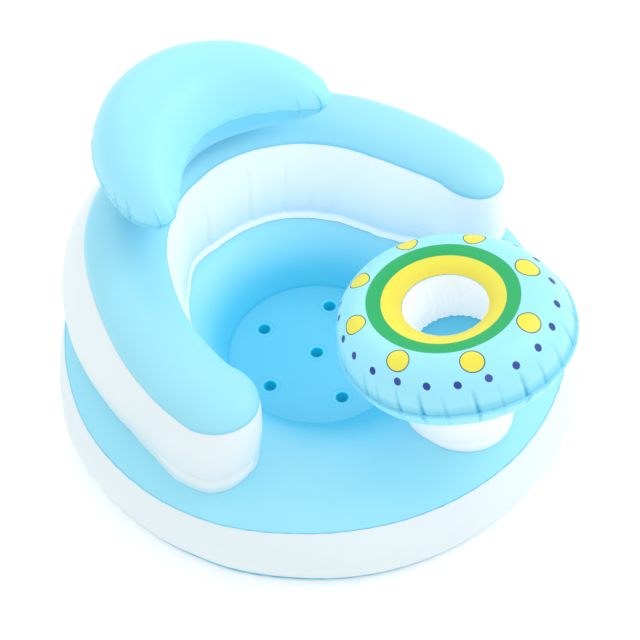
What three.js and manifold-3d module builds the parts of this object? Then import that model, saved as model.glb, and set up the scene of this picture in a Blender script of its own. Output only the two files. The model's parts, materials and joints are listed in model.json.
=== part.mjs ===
// Inflatable baby seat: a round base with a bowl, a horseshoe backrest, a crescent headrest,
// and a toy ring on a post. Millimetres, +Z up, and the seat faces -Y.
// Each sheet of film is a shell, thicker than the real film, with its faces where the film runs.
import * as THREE from 'three';
import { mergeVertices } from 'three/addons/utils/BufferGeometryUtils.js';
import Module from 'manifold-3d';

const wasm = await Module();
wasm.setup();

// Film and welds
const film = 1.2;
const sheetGap = 0.3;
const weldMargin = 4;
const cutOverrun = 2;
const mergeDistance = 1e-4;

// Base: radius and height of the seam between the white band and the blue top sheet
const baseRadius = 300;
const baseHeight = 89;
const baseWallBulge = 11;
const baseCrown = 13;
const crownInset = 75;
const crownRadius = baseRadius - crownInset;
const crownPower = 2.2;
const footFlange = 3;

// Bowl and its floor; the bowl is steep behind the sitter and gentle in front
const bowlWidth = 118;
const floorRadius = crownRadius - bowlWidth;
const floorHeight = 23;
const bowlPowerBack = 4.5;
const bowlPowerFront = 1.3;
const drainHoleDiameter = 14;
const drainRingDiameter = 25;
const drainRingThickness = 0.8;
const drainCircleShare = 0.7;
const drainCircleRadius = drainCircleShare * floorRadius;
const drainsOnCircle = 5;
const drainTurnAngle = THREE.MathUtils.degToRad(-11);

// Backrest: a horseshoe chamber, wider at its foot than at its top seam.
// Its middle line sways in and out: the sway is widest near the back and at the arm tips.
const armInset = 84;
const armCentre = baseRadius - armInset;
const armCentreSwayWidth = 8.5;
const armHalfWidth = 46;
const armHalfSwayWidth = 3.2;
const armSwayRatio = 3.6;
const armSwayPeakAngle = THREE.MathUtils.degToRad(12);
const armFootInward = 61;
const armFootOutward = 57;
const armFootTipInward = 36;
const armFootInnerRadius = armCentre - armFootInward;
const armFootOuterRadius = armCentre + armFootOutward;
const armFootTipInnerRadius = armCentre - armFootTipInward;
const armFootInnerSwayWidth = 11;
const armFootOuterSwayWidth = 6;
const armFootTaperAngle = THREE.MathUtils.degToRad(75);
const armSweepAngle = THREE.MathUtils.degToRad(104);
const armTipLength = 45;
const backrestSeamHeight = 207;
const backrestCrown = 21;
const backrestCrownRoot = 0.6;
const outerWallBulge = 26;
const tipWallBulge = 4;
const innerWallBulge = 5;
const bulgeFadeAngle = THREE.MathUtils.degToRad(45);
const trimDepth = 45;

// Headrest: a bent cushion of two sheets with a welded rim
const headrestHalfLength = 174;
const headrestHalfWidth = 49;
const headrestRise = 55;
const headrestDepth = 66;
const headrestBendRadius = 131;
const headrestStretchRatio = 1.26;
const headrestOutward = 5;
const headrestBack = armCentre + headrestOutward;
const headrestRoundnessPower = 2.2;
const headrestSwellPower = 2.2;
const headrestSwellRoot = 0.55;

// Toy ring and its post, which lean towards the seat
const toyRadius = 125;
const toyShoulder = 42;
const toyCrownRadius = toyRadius - toyShoulder;
const toyRise = 52;
const toyDepth = 37;
const toyLeanAngle = THREE.MathUtils.degToRad(9);
const toySeamHeight = 221;
const toyInset = 98;
const toySeamForward = baseRadius - toyInset;
const toyFlatRise = 2;
const toyFlatDepth = toyDepth - toyFlatRise;
const cupMargin = 35;
const cupRadius = toyCrownRadius - cupMargin;
const cupRimDrop = 10;
const cupRimHeight = toyRise - cupRimDrop;
const cupTaper = 4;
const cupFloorRadius = cupRadius - cupTaper;
const cupDepth = 60;
const cupFloorHeight = cupRimHeight - cupDepth;
const postFootRadius = 64;
const postTaper = 4;
const postTopRadius = postFootRadius - postTaper;
const postFootOutward = 12;
const postFootForward = toySeamForward + postFootOutward;
const postBulge = 4;

// Valve: a flange welded on the sheet, a sunk stem, a check flap, a plug and its tether
const valveFlangeRadius = 12;
const valveFlangeThickness = 1;
const valveStemRadius = 5;
const valveBoreRadius = 3.2;
const valveStemDepth = 12;
const valveFlapThickness = 0.8;
const plugClearance = 0.25;
const plugDepth = 8;
const plugCapRadius = 6.5;
const plugCapThickness = 1.6;
const tetherWidth = 3;
const tetherThickness = 1;

// Fineness of the facets, in counts
const baseSegments = 48;
const toySegments = 40;
const smallSegments = 12;
const armSteps = 26;
const armCapSteps = 7;
const headrestSteps = 32;
const postSteps = 32;

const skyBlue = 0x8edffb;
const midBlue = 0x6fcdf2;
const drainBlue = 0x14a8d6;
const white = 0xeef4fa;
const clearVinyl = 0xdfeaf0;
const printYellow = 0xf7e94c;
const glossyRoughness = 0.32;
const satinRoughness = 0.38;

const seat = new THREE.Group();
const model = new THREE.Group();
seat.add(model);

const lerp = THREE.MathUtils.lerp;

// How much of a bulge shows at a share of the way across it: all of it in the middle.
const bulgeShare = (share) => 1 - (2 * share - 1) ** 2;

// Materials and meshes

function vinyl(color, roughness) {
  return new THREE.MeshStandardMaterial({ color, roughness, metalness: 0 });
}

const blueFilm = () => vinyl(skyBlue, glossyRoughness);
const floorFilm = () => vinyl(midBlue, satinRoughness);
const drainFilm = () => vinyl(drainBlue, satinRoughness);
const whiteFilm = () => vinyl(white, satinRoughness);
const valveVinyl = () => vinyl(clearVinyl, satinRoughness);
const printedFilm = () => vinyl(printYellow, glossyRoughness);

function addPiece(name, geometry, material, parent = model) {
  const mesh = new THREE.Mesh(geometry, material);
  mesh.name = name;
  parent.add(mesh);
  return mesh;
}

// Solid making

function signedVolume(position, index) {
  const a = new THREE.Vector3();
  const b = new THREE.Vector3();
  const c = new THREE.Vector3();
  let sum = 0;
  for (let i = 0; i < index.length; i += 3) {
    a.fromBufferAttribute(position, index[i]);
    b.fromBufferAttribute(position, index[i + 1]);
    c.fromBufferAttribute(position, index[i + 2]);
    sum += a.dot(b.cross(c));
  }
  return sum;
}

// Merges shared corners, drops collapsed triangles and turns the faces outwards.
function closedBody(source) {
  const bare = source.index ? source.toNonIndexed() : source.clone();
  bare.deleteAttribute('normal');
  bare.deleteAttribute('uv');
  const merged = mergeVertices(bare, mergeDistance);
  const kept = [];
  const index = merged.index.array;
  for (let i = 0; i < index.length; i += 3) {
    const [a, b, c] = [index[i], index[i + 1], index[i + 2]];
    if (a !== b && b !== c && c !== a) kept.push(a, b, c);
  }
  const position = merged.getAttribute('position');
  if (signedVolume(position, kept) < 0) kept.reverse();
  const body = new THREE.BufferGeometry();
  body.setAttribute('position', position);
  body.setIndex(kept);
  body.computeVertexNormals();
  return body;
}

// Loops of points, each joined to the next; the last joins the first unless the ends are collapsed.
function loft(loops, joinEnds = true) {
  const corners = [];
  const stages = joinEnds ? loops.length : loops.length - 1;
  for (let k = 0; k < stages; k += 1) {
    const here = loops[k];
    const next = loops[(k + 1) % loops.length];
    for (let i = 0; i < here.length; i += 1) {
      const j = (i + 1) % here.length;
      corners.push(here[i], here[j], next[j], here[i], next[j], next[i]);
    }
  }
  const geometry = new THREE.BufferGeometry();
  geometry.setFromPoints(corners);
  return closedBody(geometry);
}

// Moves each point of an outline sideways by a distance; an end on the axis stays there.
function offsetOutline(outline, distance) {
  return outline.map((point, i) => {
    const before = outline[Math.max(i - 1, 0)];
    const after = outline[Math.min(i + 1, outline.length - 1)];
    const along = after.clone().sub(before).normalize();
    const x = point.x - along.y * distance;
    return new THREE.Vector2(point.x === 0 ? 0 : x, point.y + along.x * distance);
  });
}

function shellSection(outline, thickness) {
  const inner = offsetOutline(outline, thickness).reverse();
  const section = [...outline, ...inner];
  if (outline[0].x > 0) section.push(outline[0].clone());
  return section;
}

function revolve(section, segments) {
  const geometry = new THREE.LatheGeometry(section, segments);
  geometry.rotateX(Math.PI / 2);
  return closedBody(geometry);
}

const at = (radius, height) => new THREE.Vector2(radius, height);

function toSolid(geometry) {
  return new wasm.Manifold(new wasm.Mesh({
    numProp: 3,
    vertProperties: new Float32Array(geometry.getAttribute('position').array),
    triVerts: new Uint32Array(geometry.index.array),
  }));
}

function fromSolid(solid) {
  const mesh = solid.getMesh();
  const geometry = new THREE.BufferGeometry();
  geometry.setAttribute('position', new THREE.BufferAttribute(mesh.vertProperties, 3));
  geometry.setIndex(new THREE.BufferAttribute(mesh.triVerts, 1));
  return closedBody(geometry);
}

function cut(geometry, cutters) {
  let solid = toSolid(geometry);
  for (const cutter of cutters) solid = solid.subtract(toSolid(cutter));
  return fromSolid(solid);
}

function overlapOf(geometry, other) {
  return fromSolid(toSolid(geometry).intersect(toSolid(other)));
}

function roundCutter(radius, length, matrix) {
  const geometry = new THREE.CylinderGeometry(radius, radius, length, smallSegments);
  geometry.rotateX(Math.PI / 2);
  geometry.applyMatrix4(matrix);
  return closedBody(geometry);
}

function uprightCutter(radius, x, y, low, high) {
  const matrix = new THREE.Matrix4().makeTranslation(x, y, (low + high) / 2);
  return roundCutter(radius, high - low, matrix);
}

// Base

const crownTop = baseHeight + baseCrown;

// Height of the top sheet's upper face: a bowl inside the crown, a dome outside it.
// The angle goes round from the back, which is +Y.
function baseTopHeight(radius, angle) {
  if (radius < crownRadius) {
    const power = lerp(bowlPowerBack, bowlPowerFront, (1 - Math.cos(angle)) / 2);
    const climbShare = (radius - floorRadius) / (crownRadius - floorRadius);
    return floorHeight + (crownTop - floorHeight) * (1 - (1 - climbShare) ** power);
  }
  const outShare = (radius - crownRadius) / (baseRadius - crownRadius);
  return crownTop - baseCrown * outShare ** crownPower;
}

const baseStationShares = [0, 0.03, 0.08, 0.15, 0.23, 0.32, 0.42, 0.52, 0.61, 0.71, 0.81, 0.91, 1];

// Loops round the top sheet, moved off its upper face by a distance.
function baseTopLoops(distance) {
  const loops = baseStationShares.map(() => []);
  for (let j = 0; j < baseSegments; j += 1) {
    const angle = (2 * Math.PI * j) / baseSegments;
    const outline = baseStationShares.map((share) => {
      const radius = lerp(floorRadius, baseRadius, share);
      return at(radius, baseTopHeight(radius, angle));
    });
    outline[0].y += film + sheetGap;
    offsetOutline(outline, distance).forEach((point, k) => {
      const [x, y] = [point.x * Math.sin(angle), point.x * Math.cos(angle)];
      loops[k].push(new THREE.Vector3(x, y, point.y));
    });
  }
  return loops;
}

// Everything below the top sheet's upper face moved up by a distance.
function underBaseTop(distance) {
  const loops = baseTopLoops(distance);
  const level = (radius, height) => loops[0].map((point) => {
    const reach = radius / Math.hypot(point.x, point.y);
    return new THREE.Vector3(point.x * reach, point.y * reach, height);
  });
  return loft([level(0, floorHeight), ...loops, level(baseRadius, 0), level(0, 0)], false);
}

function baseWallRadius(height) {
  const fromMiddleShare = (2 * height) / baseHeight - 1;
  return baseRadius + baseWallBulge * (1 - fromMiddleShare ** 2);
}

const drainBore = drainHoleDiameter / 2;

function drainPlaces() {
  const places = [[0, 0]];
  for (let i = 0; i < drainsOnCircle; i += 1) {
    const turn = drainTurnAngle + (i * 2 * Math.PI) / drainsOnCircle;
    places.push([drainCircleRadius * Math.sin(turn), drainCircleRadius * Math.cos(turn)]);
  }
  return places;
}

function addBaseBottom() {
  const edge = baseRadius + footFlange;
  const disc = revolve([at(0, 0), at(edge, 0), at(edge, film), at(0, film)], baseSegments);
  const cutters = drainPlaces().map(([x, y]) =>
    uprightCutter(drainBore, x, y, -cutOverrun, film + cutOverrun));
  addPiece('base_bottom_sheet', cut(disc, cutters), blueFilm());
}

const wallHeightShares = [0, 0.2, 0.5, 0.8, 1];

function addBaseWall() {
  const low = film + sheetGap;
  const high = baseHeight - film - sheetGap;
  const outline = wallHeightShares.map((share) => {
    const height = low + share * (high - low);
    return at(baseWallRadius(height), height);
  });
  const valve = baseValvePlace();
  const wall = revolve(shellSection(outline, film), baseSegments);
  addPiece('base_side_wall', cut(wall, [valveCutter(valve)]), whiteFilm());
}

function addBaseTop() {
  const sheet = loft([...baseTopLoops(0), ...baseTopLoops(-film).reverse()]);
  addPiece('base_top_sheet', sheet, blueFilm());
}

function addSeatFloor() {
  const edge = floorRadius + weldMargin;
  const low = floorHeight - film;
  const section = [at(0, low), at(edge, low), at(edge, floorHeight), at(0, floorHeight)];
  const disc = revolve(section, baseSegments);
  const hole = drainBore + film + sheetGap;
  const cutters = drainPlaces().map(([x, y]) =>
    uprightCutter(hole, x, y, low - cutOverrun, floorHeight + cutOverrun));
  addPiece('seat_floor_sheet', cut(disc, cutters), floorFilm());
}

// A welded sleeve ties the floor to the bottom sheet and lets water out.
function addDrainSleeves() {
  const low = film + sheetGap;
  const high = floorHeight + sheetGap;
  const ring = drainRingDiameter / 2;
  const tube = drainBore + film;
  const section = [
    at(drainBore, low),
    at(ring, low),
    at(ring, low + drainRingThickness),
    at(tube, low + drainRingThickness),
    at(tube, high),
    at(ring, high),
    at(ring, high + drainRingThickness),
    at(drainBore, high + drainRingThickness),
    at(drainBore, low),
  ];
  drainPlaces().forEach(([x, y], i) => {
    const sleeve = addPiece(`drain_sleeve_${i + 1}`, revolve(section, smallSegments), drainFilm());
    sleeve.position.set(x, y, 0);
  });
}

// Backrest

// Middle radius and half width of the horseshoe; level 0 is its foot and level 1 its top seam.
function armSection(level, angle) {
  const sway = Math.cos(armSwayRatio * (Math.abs(angle) - armSwayPeakAngle));
  const taper = THREE.MathUtils.smoothstep(Math.abs(angle), armFootTaperAngle, armSweepAngle);
  const backInner = armFootInnerRadius + armFootInnerSwayWidth * sway;
  const footInner = lerp(backInner, armFootTipInnerRadius, taper);
  const footOuter = armFootOuterRadius + armFootOuterSwayWidth * sway;
  return {
    centre: lerp((footInner + footOuter) / 2, armCentre + armCentreSwayWidth * sway, level),
    half: lerp((footOuter - footInner) / 2, armHalfWidth + armHalfSwayWidth * sway, level),
  };
}

// A level loop round the horseshoe. Spread is its share of the full width, inset moves it into
// the chamber, and swell is how much of the walls' bulge it has.
function horseshoeLoop(level, spread, height, inset = 0, swell = 0) {
  const points = [];
  const marginAt = (angle, side) => {
    const fade = THREE.MathUtils.smoothstep(Math.abs(angle), bulgeFadeAngle, armSweepAngle);
    const bulge = side > 0 ? lerp(outerWallBulge, tipWallBulge, fade) : innerWallBulge;
    return bulge * swell - inset;
  };
  const sidePoint = (angle, side) => {
    const { centre, half } = armSection(level, angle);
    const margin = marginAt(angle, side);
    const radius = centre + side * (half * spread + margin);
    points.push(new THREE.Vector3(Math.sin(angle) * radius, Math.cos(angle) * radius, height));
  };
  const tip = armSection(level, armSweepAngle);
  const tipReach = armTipLength * spread + tipWallBulge * swell - inset;
  const tipPoint = (side, turn) => {
    const margin = marginAt(armSweepAngle, Math.cos(turn));
    const radius = tip.centre + Math.cos(turn) * (tip.half * spread + margin);
    const beyond = Math.sin(turn) * tipReach;
    const x = Math.sin(armSweepAngle) * radius + Math.cos(armSweepAngle) * beyond;
    const y = Math.cos(armSweepAngle) * radius - Math.sin(armSweepAngle) * beyond;
    points.push(new THREE.Vector3(side * x, y, height));
  };
  const angleAt = (i) => armSweepAngle * ((2 * i) / armSteps - 1);
  for (let i = 0; i <= armSteps; i += 1) sidePoint(angleAt(i), 1);
  for (let i = 1; i < armCapSteps; i += 1) tipPoint(1, (Math.PI * i) / armCapSteps);
  for (let i = armSteps; i >= 0; i -= 1) sidePoint(angleAt(i), -1);
  for (let i = armCapSteps - 1; i > 0; i -= 1) tipPoint(-1, (Math.PI * i) / armCapSteps);
  return points;
}

const crownShares = [0, 0.45, 0.75, 0.93, 1];
const trimHeight = crownTop - trimDepth;

function addBackrestBottom() {
  const block = loft([
    horseshoeLoop(0, 0, trimHeight),
    horseshoeLoop(0, 1, trimHeight),
    horseshoeLoop(0, 1, backrestSeamHeight),
    horseshoeLoop(0, 0, backrestSeamHeight),
  ], false);
  const sheet = overlapOf(block, underBaseTop(sheetGap + film));
  addPiece('backrest_bottom_sheet', cut(sheet, [underBaseTop(sheetGap)]), blueFilm());
}

// Share 0 is the foot and share 1 the top seam; inset moves the loop into the chamber.
function backrestWallLoop(share, inset) {
  const top = backrestSeamHeight - film - sheetGap;
  return horseshoeLoop(share, 1, lerp(crownTop, top, share), inset, bulgeShare(share));
}

function addBackrestWall() {
  const wallLoops = (inset) => [
    horseshoeLoop(0, 1, trimHeight, inset),
    ...wallHeightShares.map((share) => backrestWallLoop(share, inset)),
  ];
  const wall = loft([...wallLoops(0), ...wallLoops(film).reverse()]);
  const foot = underBaseTop(sheetGap + film + sheetGap);
  const cutters = [foot, valveCutter(backrestValvePlace())];
  addPiece('backrest_side_wall', cut(wall, cutters), whiteFilm());
}

function addBackrestTop() {
  const loops = (inset) => crownShares.map((share) => {
    const rise = (backrestCrown - inset) * (1 - share ** 2) ** backrestCrownRoot;
    return horseshoeLoop(1, share, backrestSeamHeight + rise, inset * share);
  });
  const under = loops(film).map((loop) => loop.map((point) => point.setZ(point.z - film)));
  const edge = horseshoeLoop(1, 1, backrestSeamHeight - film);
  const sheet = loft([...loops(0), edge, ...under.reverse()], false);
  addPiece('backrest_top_sheet', sheet, blueFilm());
}

// Headrest

const headrestSeamHeight = backrestSeamHeight + backrestCrown + sheetGap + headrestDepth;
const headrestRingShares = [0, 0.35, 0.65, 0.85, 0.96, 1];

// A point of the bent cushion: ringShare runs from its middle to its rim, turn goes round it.
function headrestPoint(ringShare, turn, shrink, height, margin = 0) {
  const power = 2 / headrestRoundnessPower;
  const along = Math.sign(Math.cos(turn)) * Math.abs(Math.cos(turn)) ** power;
  const across = Math.sign(Math.sin(turn)) * Math.abs(Math.sin(turn)) ** power;
  const length = (headrestHalfLength - shrink) * ringShare + margin;
  const width = (headrestHalfWidth - shrink) * ringShare + margin;
  const angle = (along * length) / headrestBendRadius;
  const radius = headrestBendRadius + across * width;
  const y = headrestBack + (radius * Math.cos(angle) - headrestBendRadius) * headrestStretchRatio;
  return new THREE.Vector3(radius * Math.sin(angle), y, height);
}

function headrestSwell(ringShare) {
  return (1 - ringShare ** headrestSwellPower) ** headrestSwellRoot;
}

function headrestLoop(ringShare, shrink, height, margin) {
  const points = [];
  for (let i = 0; i < headrestSteps; i += 1) {
    const turn = (2 * Math.PI * i) / headrestSteps;
    points.push(headrestPoint(ringShare, turn, shrink, height, margin));
  }
  return points;
}

// One sheet of the cushion: its swelling, and the flat rim that is welded to the other sheet.
function headrestSheet(swell, side) {
  const rimHeight = headrestSeamHeight + (side * sheetGap) / 2;
  const outside = headrestRingShares.map((share) =>
    headrestLoop(share, 0, rimHeight + side * (film + (swell - film) * headrestSwell(share))));
  const inside = headrestRingShares.map((share) =>
    headrestLoop(share, film, rimHeight + side * (swell - film) * headrestSwell(share)));
  const rim = [
    headrestLoop(1, 0, rimHeight + side * film, weldMargin),
    headrestLoop(1, 0, rimHeight, weldMargin),
  ];
  return loft([...outside, ...rim, ...inside.reverse()], false);
}

function addHeadrest() {
  addPiece('headrest_upper_sheet', headrestSheet(headrestRise, 1), blueFilm());
  const lower = headrestSheet(headrestDepth - sheetGap / 2, -1);
  addPiece('headrest_lower_sheet', cut(lower, [valveCutter(headrestValvePlace())]), blueFilm());
}

// Toy ring and post

const toy = new THREE.Group();
toy.position.set(0, -toySeamForward, toySeamHeight);
toy.rotation.x = -toyLeanAngle;
toy.updateMatrixWorld(true);
model.add(toy);

const quarterShares = [0, 0.22, 0.42, 0.62, 0.82, 1];

// Points of the ring's outer quarter, from its crown to its rim seam.
function toyQuarter(height, rimHeight) {
  return quarterShares.map((share) => {
    const turn = (share * Math.PI) / 2;
    const radius = toyCrownRadius + (toyRadius - toyCrownRadius) * Math.sin(turn);
    return at(radius, rimHeight + (height - rimHeight) * Math.cos(turn));
  });
}

const cupRimShares = [0, 0.35, 0.7];

function addToyTop() {
  const rimHeight = sheetGap / 2 + film;
  const slope = cupRimShares.map((share) => {
    const radius = cupRadius + share * (toyCrownRadius - cupRadius);
    return at(radius, toyRise - (toyRise - cupRimHeight) * (1 - share) ** 2);
  });
  const outline = [...slope, ...toyQuarter(toyRise, rimHeight)];
  const inner = offsetOutline(outline, -film).reverse();
  inner[0].set(toyRadius - film, rimHeight);
  const section = [
    ...outline,
    at(toyRadius + weldMargin, rimHeight),
    at(toyRadius + weldMargin, rimHeight - film),
    at(toyRadius - film, rimHeight - film),
    ...inner,
    outline[0].clone(),
  ];
  addPiece('toy_top_sheet', revolve(section, toySegments), printedFilm(), toy);
}

function addToyLower() {
  const rimHeight = -sheetGap / 2 - film;
  const flat = [at(0, -toyFlatDepth), at(postTopRadius, -toyFlatDepth)];
  const outline = [...flat, ...toyQuarter(-toyDepth, rimHeight)];
  const inner = offsetOutline(outline, film).reverse();
  inner[0].set(toyRadius - film, rimHeight);
  const section = [
    ...outline,
    at(toyRadius + weldMargin, rimHeight),
    at(toyRadius + weldMargin, rimHeight + film),
    at(toyRadius - film, rimHeight + film),
    ...inner,
  ];
  const cutter = valveCutter(toyValvePlace());
  cutter.applyMatrix4(toy.matrixWorld.clone().invert());
  addPiece('toy_lower_sheet', cut(revolve(section, toySegments), [cutter]), blueFilm(), toy);
}

const cupWallShares = [0, 0.35, 0.7, 1];

function addToyCup() {
  const low = cupFloorHeight + sheetGap;
  const high = cupRimHeight - film - sheetGap;
  const outline = cupWallShares.map((share) => at(
    lerp(cupFloorRadius, cupRadius, share),
    lerp(low, high, share),
  ));
  const wall = revolve(shellSection(outline, -film), toySegments);
  addPiece('toy_cup_wall', wall, whiteFilm(), toy);
  const edge = cupFloorRadius + weldMargin;
  const under = cupFloorHeight - film;
  const disc = [at(0, under), at(edge, under), at(edge, cupFloorHeight), at(0, cupFloorHeight)];
  addPiece('toy_cup_floor', revolve(disc, toySegments), floorFilm(), toy);
}

const postTopHeight = -toyFlatDepth - sheetGap;

function postLoop(share, inset) {
  const turnStep = (2 * Math.PI) / postSteps;
  const top = postTopHeight - film - sheetGap;
  const bulge = postBulge * bulgeShare(share);
  const points = [];
  for (let i = 0; i < postSteps; i += 1) {
    const [s, c] = [Math.sin(i * turnStep), Math.cos(i * turnStep)];
    const footReach = postFootRadius + bulge - inset;
    const topReach = postTopRadius + bulge - inset;
    const low = new THREE.Vector3(footReach * c, footReach * s - postFootForward, trimHeight);
    const high = new THREE.Vector3(topReach * c, topReach * s, top);
    high.applyMatrix4(toy.matrixWorld);
    points.push(low.lerp(high, share));
  }
  return points;
}

function addPost() {
  const outer = cupWallShares.map((share) => postLoop(share, 0));
  const inner = cupWallShares.map((share) => postLoop(share, film));
  const wall = loft([...outer, ...inner.reverse()]);
  addPiece('post_side_wall', cut(wall, [underBaseTop(sheetGap)]), whiteFilm());
  const low = postTopHeight - film;
  const disc = [
    at(0, low),
    at(postTopRadius, low),
    at(postTopRadius, postTopHeight),
    at(0, postTopHeight),
  ];
  addPiece('post_top_sheet', revolve(disc, postSteps), blueFilm(), toy);
}

// Valves

// A place on a sheet: where the valve's middle is, and which way is out of the chamber.
function valvePlace(position, outward) {
  const turn = new THREE.Quaternion().setFromUnitVectors(new THREE.Vector3(0, 0, 1), outward);
  return new THREE.Matrix4().compose(position, turn, new THREE.Vector3(1, 1, 1));
}

function valveCutter(place) {
  return roundCutter(valveStemRadius + sheetGap, 2 * (film + cutOverrun), place);
}

// Outward direction of a curve seen in section: x is away from the axis, y is up.
function sectionNormal(before, after, radial) {
  const outward = radial.clone().multiplyScalar(after.y - before.y);
  outward.z = before.x - after.x;
  return outward.normalize();
}

function baseValvePlace() {
  const position = new THREE.Vector3(0, baseWallRadius(baseHeight / 2), baseHeight / 2);
  return valvePlace(position, new THREE.Vector3(0, 1, 0));
}

const backrestValveStep = 15;
const backrestValveShare = 0.5;

function backrestValvePlace() {
  const point = backrestWallLoop(backrestValveShare, 0)[backrestValveStep];
  const sides = [wallHeightShares[1], wallHeightShares[3]].map((share) => {
    const near = backrestWallLoop(share, 0)[backrestValveStep];
    return at(Math.hypot(near.x, near.y), near.z);
  });
  const radial = new THREE.Vector3(point.x, point.y, 0).normalize();
  return valvePlace(point, sectionNormal(sides[0], sides[1], radial));
}

const headrestValveStep = 7;
const headrestValveRing = 2;

function headrestValvePlace() {
  const loops = [-1, 0, 1].map((shift) => {
    const share = headrestRingShares[headrestValveRing + shift];
    const swell = headrestDepth - sheetGap / 2;
    const drop = film + (swell - film) * headrestSwell(share);
    return headrestLoop(share, 0, headrestSeamHeight - sheetGap / 2 - drop);
  });
  const [inner, middle, outer] = loops;
  const along = outer[headrestValveStep].clone().sub(inner[headrestValveStep]);
  const around = middle[headrestValveStep + 1].clone().sub(middle[headrestValveStep - 1]);
  const outward = around.cross(along).normalize();
  if (outward.z > 0) outward.negate();
  return valvePlace(middle[headrestValveStep], outward);
}

const toyValveStep = 16;
const toyValveQuarter = 2;

function toyValvePlace() {
  const quarter = toyQuarter(-toyDepth, -sheetGap / 2 - film);
  const turn = (2 * Math.PI * toyValveStep) / toySegments;
  const radial = new THREE.Vector3(Math.sin(turn), -Math.cos(turn), 0);
  const point = radial.clone().multiplyScalar(quarter[toyValveQuarter].x);
  point.z = quarter[toyValveQuarter].y;
  const [before, after] = [quarter[toyValveQuarter - 1], quarter[toyValveQuarter + 1]];
  const place = valvePlace(point, sectionNormal(before, after, radial));
  return place.premultiply(toy.matrixWorld);
}

function valveBody() {
  const under = sheetGap;
  const over = sheetGap + valveFlangeThickness;
  return revolve([
    at(valveBoreRadius, -valveStemDepth),
    at(valveStemRadius, -valveStemDepth),
    at(valveStemRadius, under),
    at(valveFlangeRadius, under),
    at(valveFlangeRadius, over),
    at(valveBoreRadius, over),
    at(valveBoreRadius, -valveStemDepth),
  ], smallSegments);
}

function valveFlap() {
  const over = -valveStemDepth - sheetGap;
  const under = over - valveFlapThickness;
  const edge = valveStemRadius;
  return revolve([at(0, under), at(edge, under), at(edge, over), at(0, over)], smallSegments);
}

const capUnder = sheetGap + valveFlangeThickness + sheetGap;
const capOver = capUnder + plugCapThickness;

function valvePlug() {
  const pin = valveBoreRadius - plugClearance;
  return revolve([
    at(0, -plugDepth),
    at(pin, -plugDepth),
    at(pin, capUnder),
    at(plugCapRadius, capUnder),
    at(plugCapRadius, capOver),
    at(0, capOver),
  ], smallSegments);
}

// A flat strap whose one end lies on the flange, while the other meets the cap's edge.
function valveTether() {
  const near = plugCapRadius + sheetGap;
  const step = (near + valveFlangeRadius) / 2;
  const shape = new THREE.Shape([
    at(near, capOver - tetherThickness),
    at(step, capOver - tetherThickness),
    at(step, capUnder),
    at(valveFlangeRadius, capUnder),
    at(valveFlangeRadius, capUnder + tetherThickness),
    at(step + tetherThickness, capUnder + tetherThickness),
    at(step + tetherThickness, capOver),
    at(near, capOver),
  ]);
  const options = { depth: tetherWidth, bevelEnabled: false };
  const geometry = new THREE.ExtrudeGeometry(shape, options);
  geometry.translate(0, 0, -tetherWidth / 2);
  geometry.rotateX(Math.PI / 2);
  return closedBody(geometry);
}

function addValve(chamber, place) {
  const group = new THREE.Group();
  place.decompose(group.position, group.quaternion, group.scale);
  model.add(group);
  addPiece(`${chamber}_valve_body`, valveBody(), valveVinyl(), group);
  addPiece(`${chamber}_valve_flap`, valveFlap(), valveVinyl(), group);
  addPiece(`${chamber}_valve_plug`, valvePlug(), valveVinyl(), group);
  addPiece(`${chamber}_valve_tether`, valveTether(), valveVinyl(), group);
}

addBaseBottom();
addBaseWall();
addBaseTop();
addSeatFloor();
addDrainSleeves();
addBackrestBottom();
addBackrestWall();
addBackrestTop();
addHeadrest();
addPost();
addToyLower();
addToyCup();
addToyTop();
addValve('base', baseValvePlace());
addValve('backrest', backrestValvePlace());
addValve('headrest', headrestValvePlace());
addValve('toy', toyValvePlace());

// The object stands on the floor plane with its box centred on the vertical axis.
const box = new THREE.Box3().setFromObject(model, true);
const middle = box.getCenter(new THREE.Vector3());
model.position.set(-middle.x, -middle.y, -box.min.z);

export default seat;
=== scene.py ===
import json
import math

import bmesh
import bpy
import numpy as np
from mathutils import Matrix, Vector


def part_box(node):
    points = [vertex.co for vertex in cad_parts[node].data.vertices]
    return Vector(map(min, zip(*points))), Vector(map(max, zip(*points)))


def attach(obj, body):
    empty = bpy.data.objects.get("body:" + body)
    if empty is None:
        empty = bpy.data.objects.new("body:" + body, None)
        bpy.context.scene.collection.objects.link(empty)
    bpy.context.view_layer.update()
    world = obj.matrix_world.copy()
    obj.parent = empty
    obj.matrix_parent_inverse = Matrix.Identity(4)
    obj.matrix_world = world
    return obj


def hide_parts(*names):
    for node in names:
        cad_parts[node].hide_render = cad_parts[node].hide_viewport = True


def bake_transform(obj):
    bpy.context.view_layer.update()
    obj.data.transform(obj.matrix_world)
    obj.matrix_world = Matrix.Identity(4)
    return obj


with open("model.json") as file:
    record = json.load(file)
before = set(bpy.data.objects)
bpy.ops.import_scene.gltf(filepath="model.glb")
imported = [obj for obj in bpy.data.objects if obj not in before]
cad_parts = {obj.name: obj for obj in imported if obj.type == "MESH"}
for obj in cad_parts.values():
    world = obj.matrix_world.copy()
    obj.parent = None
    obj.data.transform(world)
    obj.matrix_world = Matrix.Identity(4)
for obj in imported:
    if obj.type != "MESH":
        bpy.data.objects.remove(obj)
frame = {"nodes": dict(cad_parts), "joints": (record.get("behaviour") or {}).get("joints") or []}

bl_info = {
    "name": "Inflatable baby seat",
    "version": (1, 0, 0),
    "blender": (4, 5, 0),
    "location": "View3D > Sidebar > Baby seat",
    "description": "Builds the films of an inflatable baby seat round its packed frame",
    "category": "Add Mesh",
}

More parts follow.
